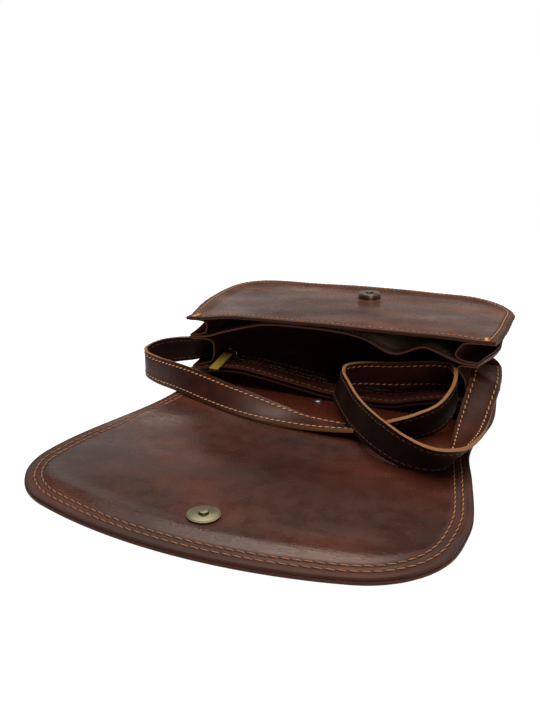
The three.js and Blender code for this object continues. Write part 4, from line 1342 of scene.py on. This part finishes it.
def build_tape():
    reach = ZIP_HALF_LENGTH + TAPE_END_MARGIN
    columns, rows = TAPE_POINTS
    across = ZIP_Y + np.linspace(-0.5, 0.5, rows) * TAPE_WIDTH
    tape, x, y = grid("tape_cloth", np.linspace(-reach, reach, columns), across)
    move_to(tape, on_surface(tape_height, x, y))
    thicken(tape, TAPE_THICKNESS, TAPE_ROUNDING, [ZIP_CLOTH, ZIP_CLOTH])
    keep(tape, "zip_cloth", "zip_tape")


def build_teeth():
    tooth = block("tooth", TOOTH_SIZE, (0, 0, 0), BRONZE)
    round_off(tooth, TOOTH_ROUNDING, 1)
    pattern = mesh_data(tooth)
    places = []
    end = ZIP_HALF_LENGTH - CHAIN_END_MARGIN
    for n, x in enumerate(np.arange(SLIDER_X + CHAIN_START, end, TOOTH_PITCH)):
        y = ZIP_Y + (TOOTH_OFFSET if n % 2 else -TOOTH_OFFSET)
        z = value_at(pocket_height, x, y) + CHAIN_RISE
        places.append(np.hstack([np.eye(3), [[x], [y], [z]]]))
    keep(copies("zip_teeth", pattern, places, BRONZE), "bronze", "zip_chain")


def slider_height():
    chain = value_at(pocket_height, SLIDER_X, ZIP_Y) + CHAIN_RISE
    return chain + TOOTH_SIZE[2] / 2 + SEAM_GAP


def build_slider():
    top = block("slider_body", SLIDER_TOP_SIZE, (0, 0, SLIDER_TOP_Z), BRONZE)
    round_off(top, SLIDER_TOP_ROUNDING)
    under = block("slider_under", SLIDER_UNDER_SIZE, (0, 0, SLIDER_UNDER_Z), BRONZE)
    round_off(under, SLIDER_UNDER_ROUNDING)
    upright = (math.pi / 2, 0, 0)
    bridge = ring("slider_bridge", BRIDGE_RADIUS, BRIDGE_WIRE, (0, 0, BRIDGE_Z), upright, BRONZE)
    slider = join(top, under, bridge)
    length = SLIDER_TOP_SIZE[0]
    behind, ahead = (value_at(pocket_height, SLIDER_X + side * length / 2, ZIP_Y) for side in (-1, 1))
    tilt = Matrix.Rotation(-math.atan2(ahead - behind, length), 4, "Y")
    slider.data.transform(Matrix.Translation((SLIDER_X, ZIP_Y, slider_height())) @ tilt)
    shade(slider)
    keep(slider, "bronze", "zip_slider")


def build_pull():
    length, _, thickness = PULL_SIZE
    tab = block("pull_tab", PULL_SIZE, (length / 2, 0, -thickness / 2), OLD_BRASS)
    edit_faces(tab, over(0.0), inset(PULL_RIM), raise_by(-PULL_PANEL_DEPTH))
    round_off(tab, PULL_ROUNDING)
    link = ring("pull_link", LINK_RADIUS, LINK_WIRE, LINK_CENTRE, (0, 0, 0), BRONZE)
    link.data.transform(Matrix.Diagonal((1, LINK_SQUASH, 1, 1)))
    pull = join(tab, link)
    pull_x = SLIDER_X + PULL_SHIFT
    pull_y = ZIP_Y - SLIDER_TOP_SIZE[1] / 2 - LINK_REACH
    pull_z = slider_height() + PULL_RISE - SEAM_GAP
    edge_top = value_at(pocket_height, pull_x, POCKET_MOUTH_Y) + LEAF_THICKNESS / 2
    drop = pull_z - edge_top - thickness - PULL_CLEARANCE
    fall = Matrix.Rotation(math.atan2(drop, pull_y - POCKET_MOUTH_Y), 4, "Y")
    turn = Matrix.Rotation(-math.pi / 2 + PULL_TURN, 4, "Z")
    pull.data.transform(Matrix.Translation((pull_x, pull_y, pull_z)) @ turn @ fall)
    shade(pull)
    keep(pull, "brass", "zip_pull")


# Floor and light
def build_floor():
    white = material_shader("floor_white").finish(
        Base_Color=FLOOR_GREY, Roughness=0.9, Specular_IOR_Level=0.1,
        Emission_Color=(1, 1, 1, 1), Emission_Strength=FLOOR_GLOW,
    )
    place = (0, 0, FLOOR_Z)
    return primitive("floor", white, bpy.ops.mesh.primitive_plane_add, size=FLOOR_SIZE, location=place)


def build_lamp(name, place, size, power):
    data = bpy.data.lights.new(name, "AREA")
    data.shape = "RECTANGLE"
    data.size, data.size_y = size
    data.energy = power
    lamp = bpy.data.objects.new(name, data)
    lamp.location = place
    aim = Vector(LAMP_AIM) - Vector(place)
    lamp.rotation_euler = aim.to_track_quat("-Z", "Y").to_euler()
    bpy.context.collection.objects.link(lamp)
    return lamp


def build_sky():
    """A world of soft greys, white in a band over the horizon and weaker behind the viewer."""
    sky = Shader(bpy.data.worlds.new("studio"), "Background")
    way = sky.add("ShaderNodeSeparateXYZ", {"Vector": sky.places["Generated"]}).outputs
    greys = sky.ramp(way["Z"], [(place, (grey, grey, grey, 1)) for place, grey in SKY_GREYS])
    bpy.context.scene.world = sky.finish(Color=greys, Strength=sky.spread(way["Y"], **SKY_STRENGTH))


def build_stage():
    floor = build_floor()
    made = [build_lamp(*lamp) for lamp in LAMPS]
    build_sky()
    bpy.context.scene.view_settings.view_transform = "Standard"


build_camera()
build_strap()
build_flap()
build_front()
build_divider()
build_pocket()
build_gussets()
build_stud()
build_socket()
build_rivet()
build_tape()
build_teeth()
build_slider()
build_pull()
build_stage()
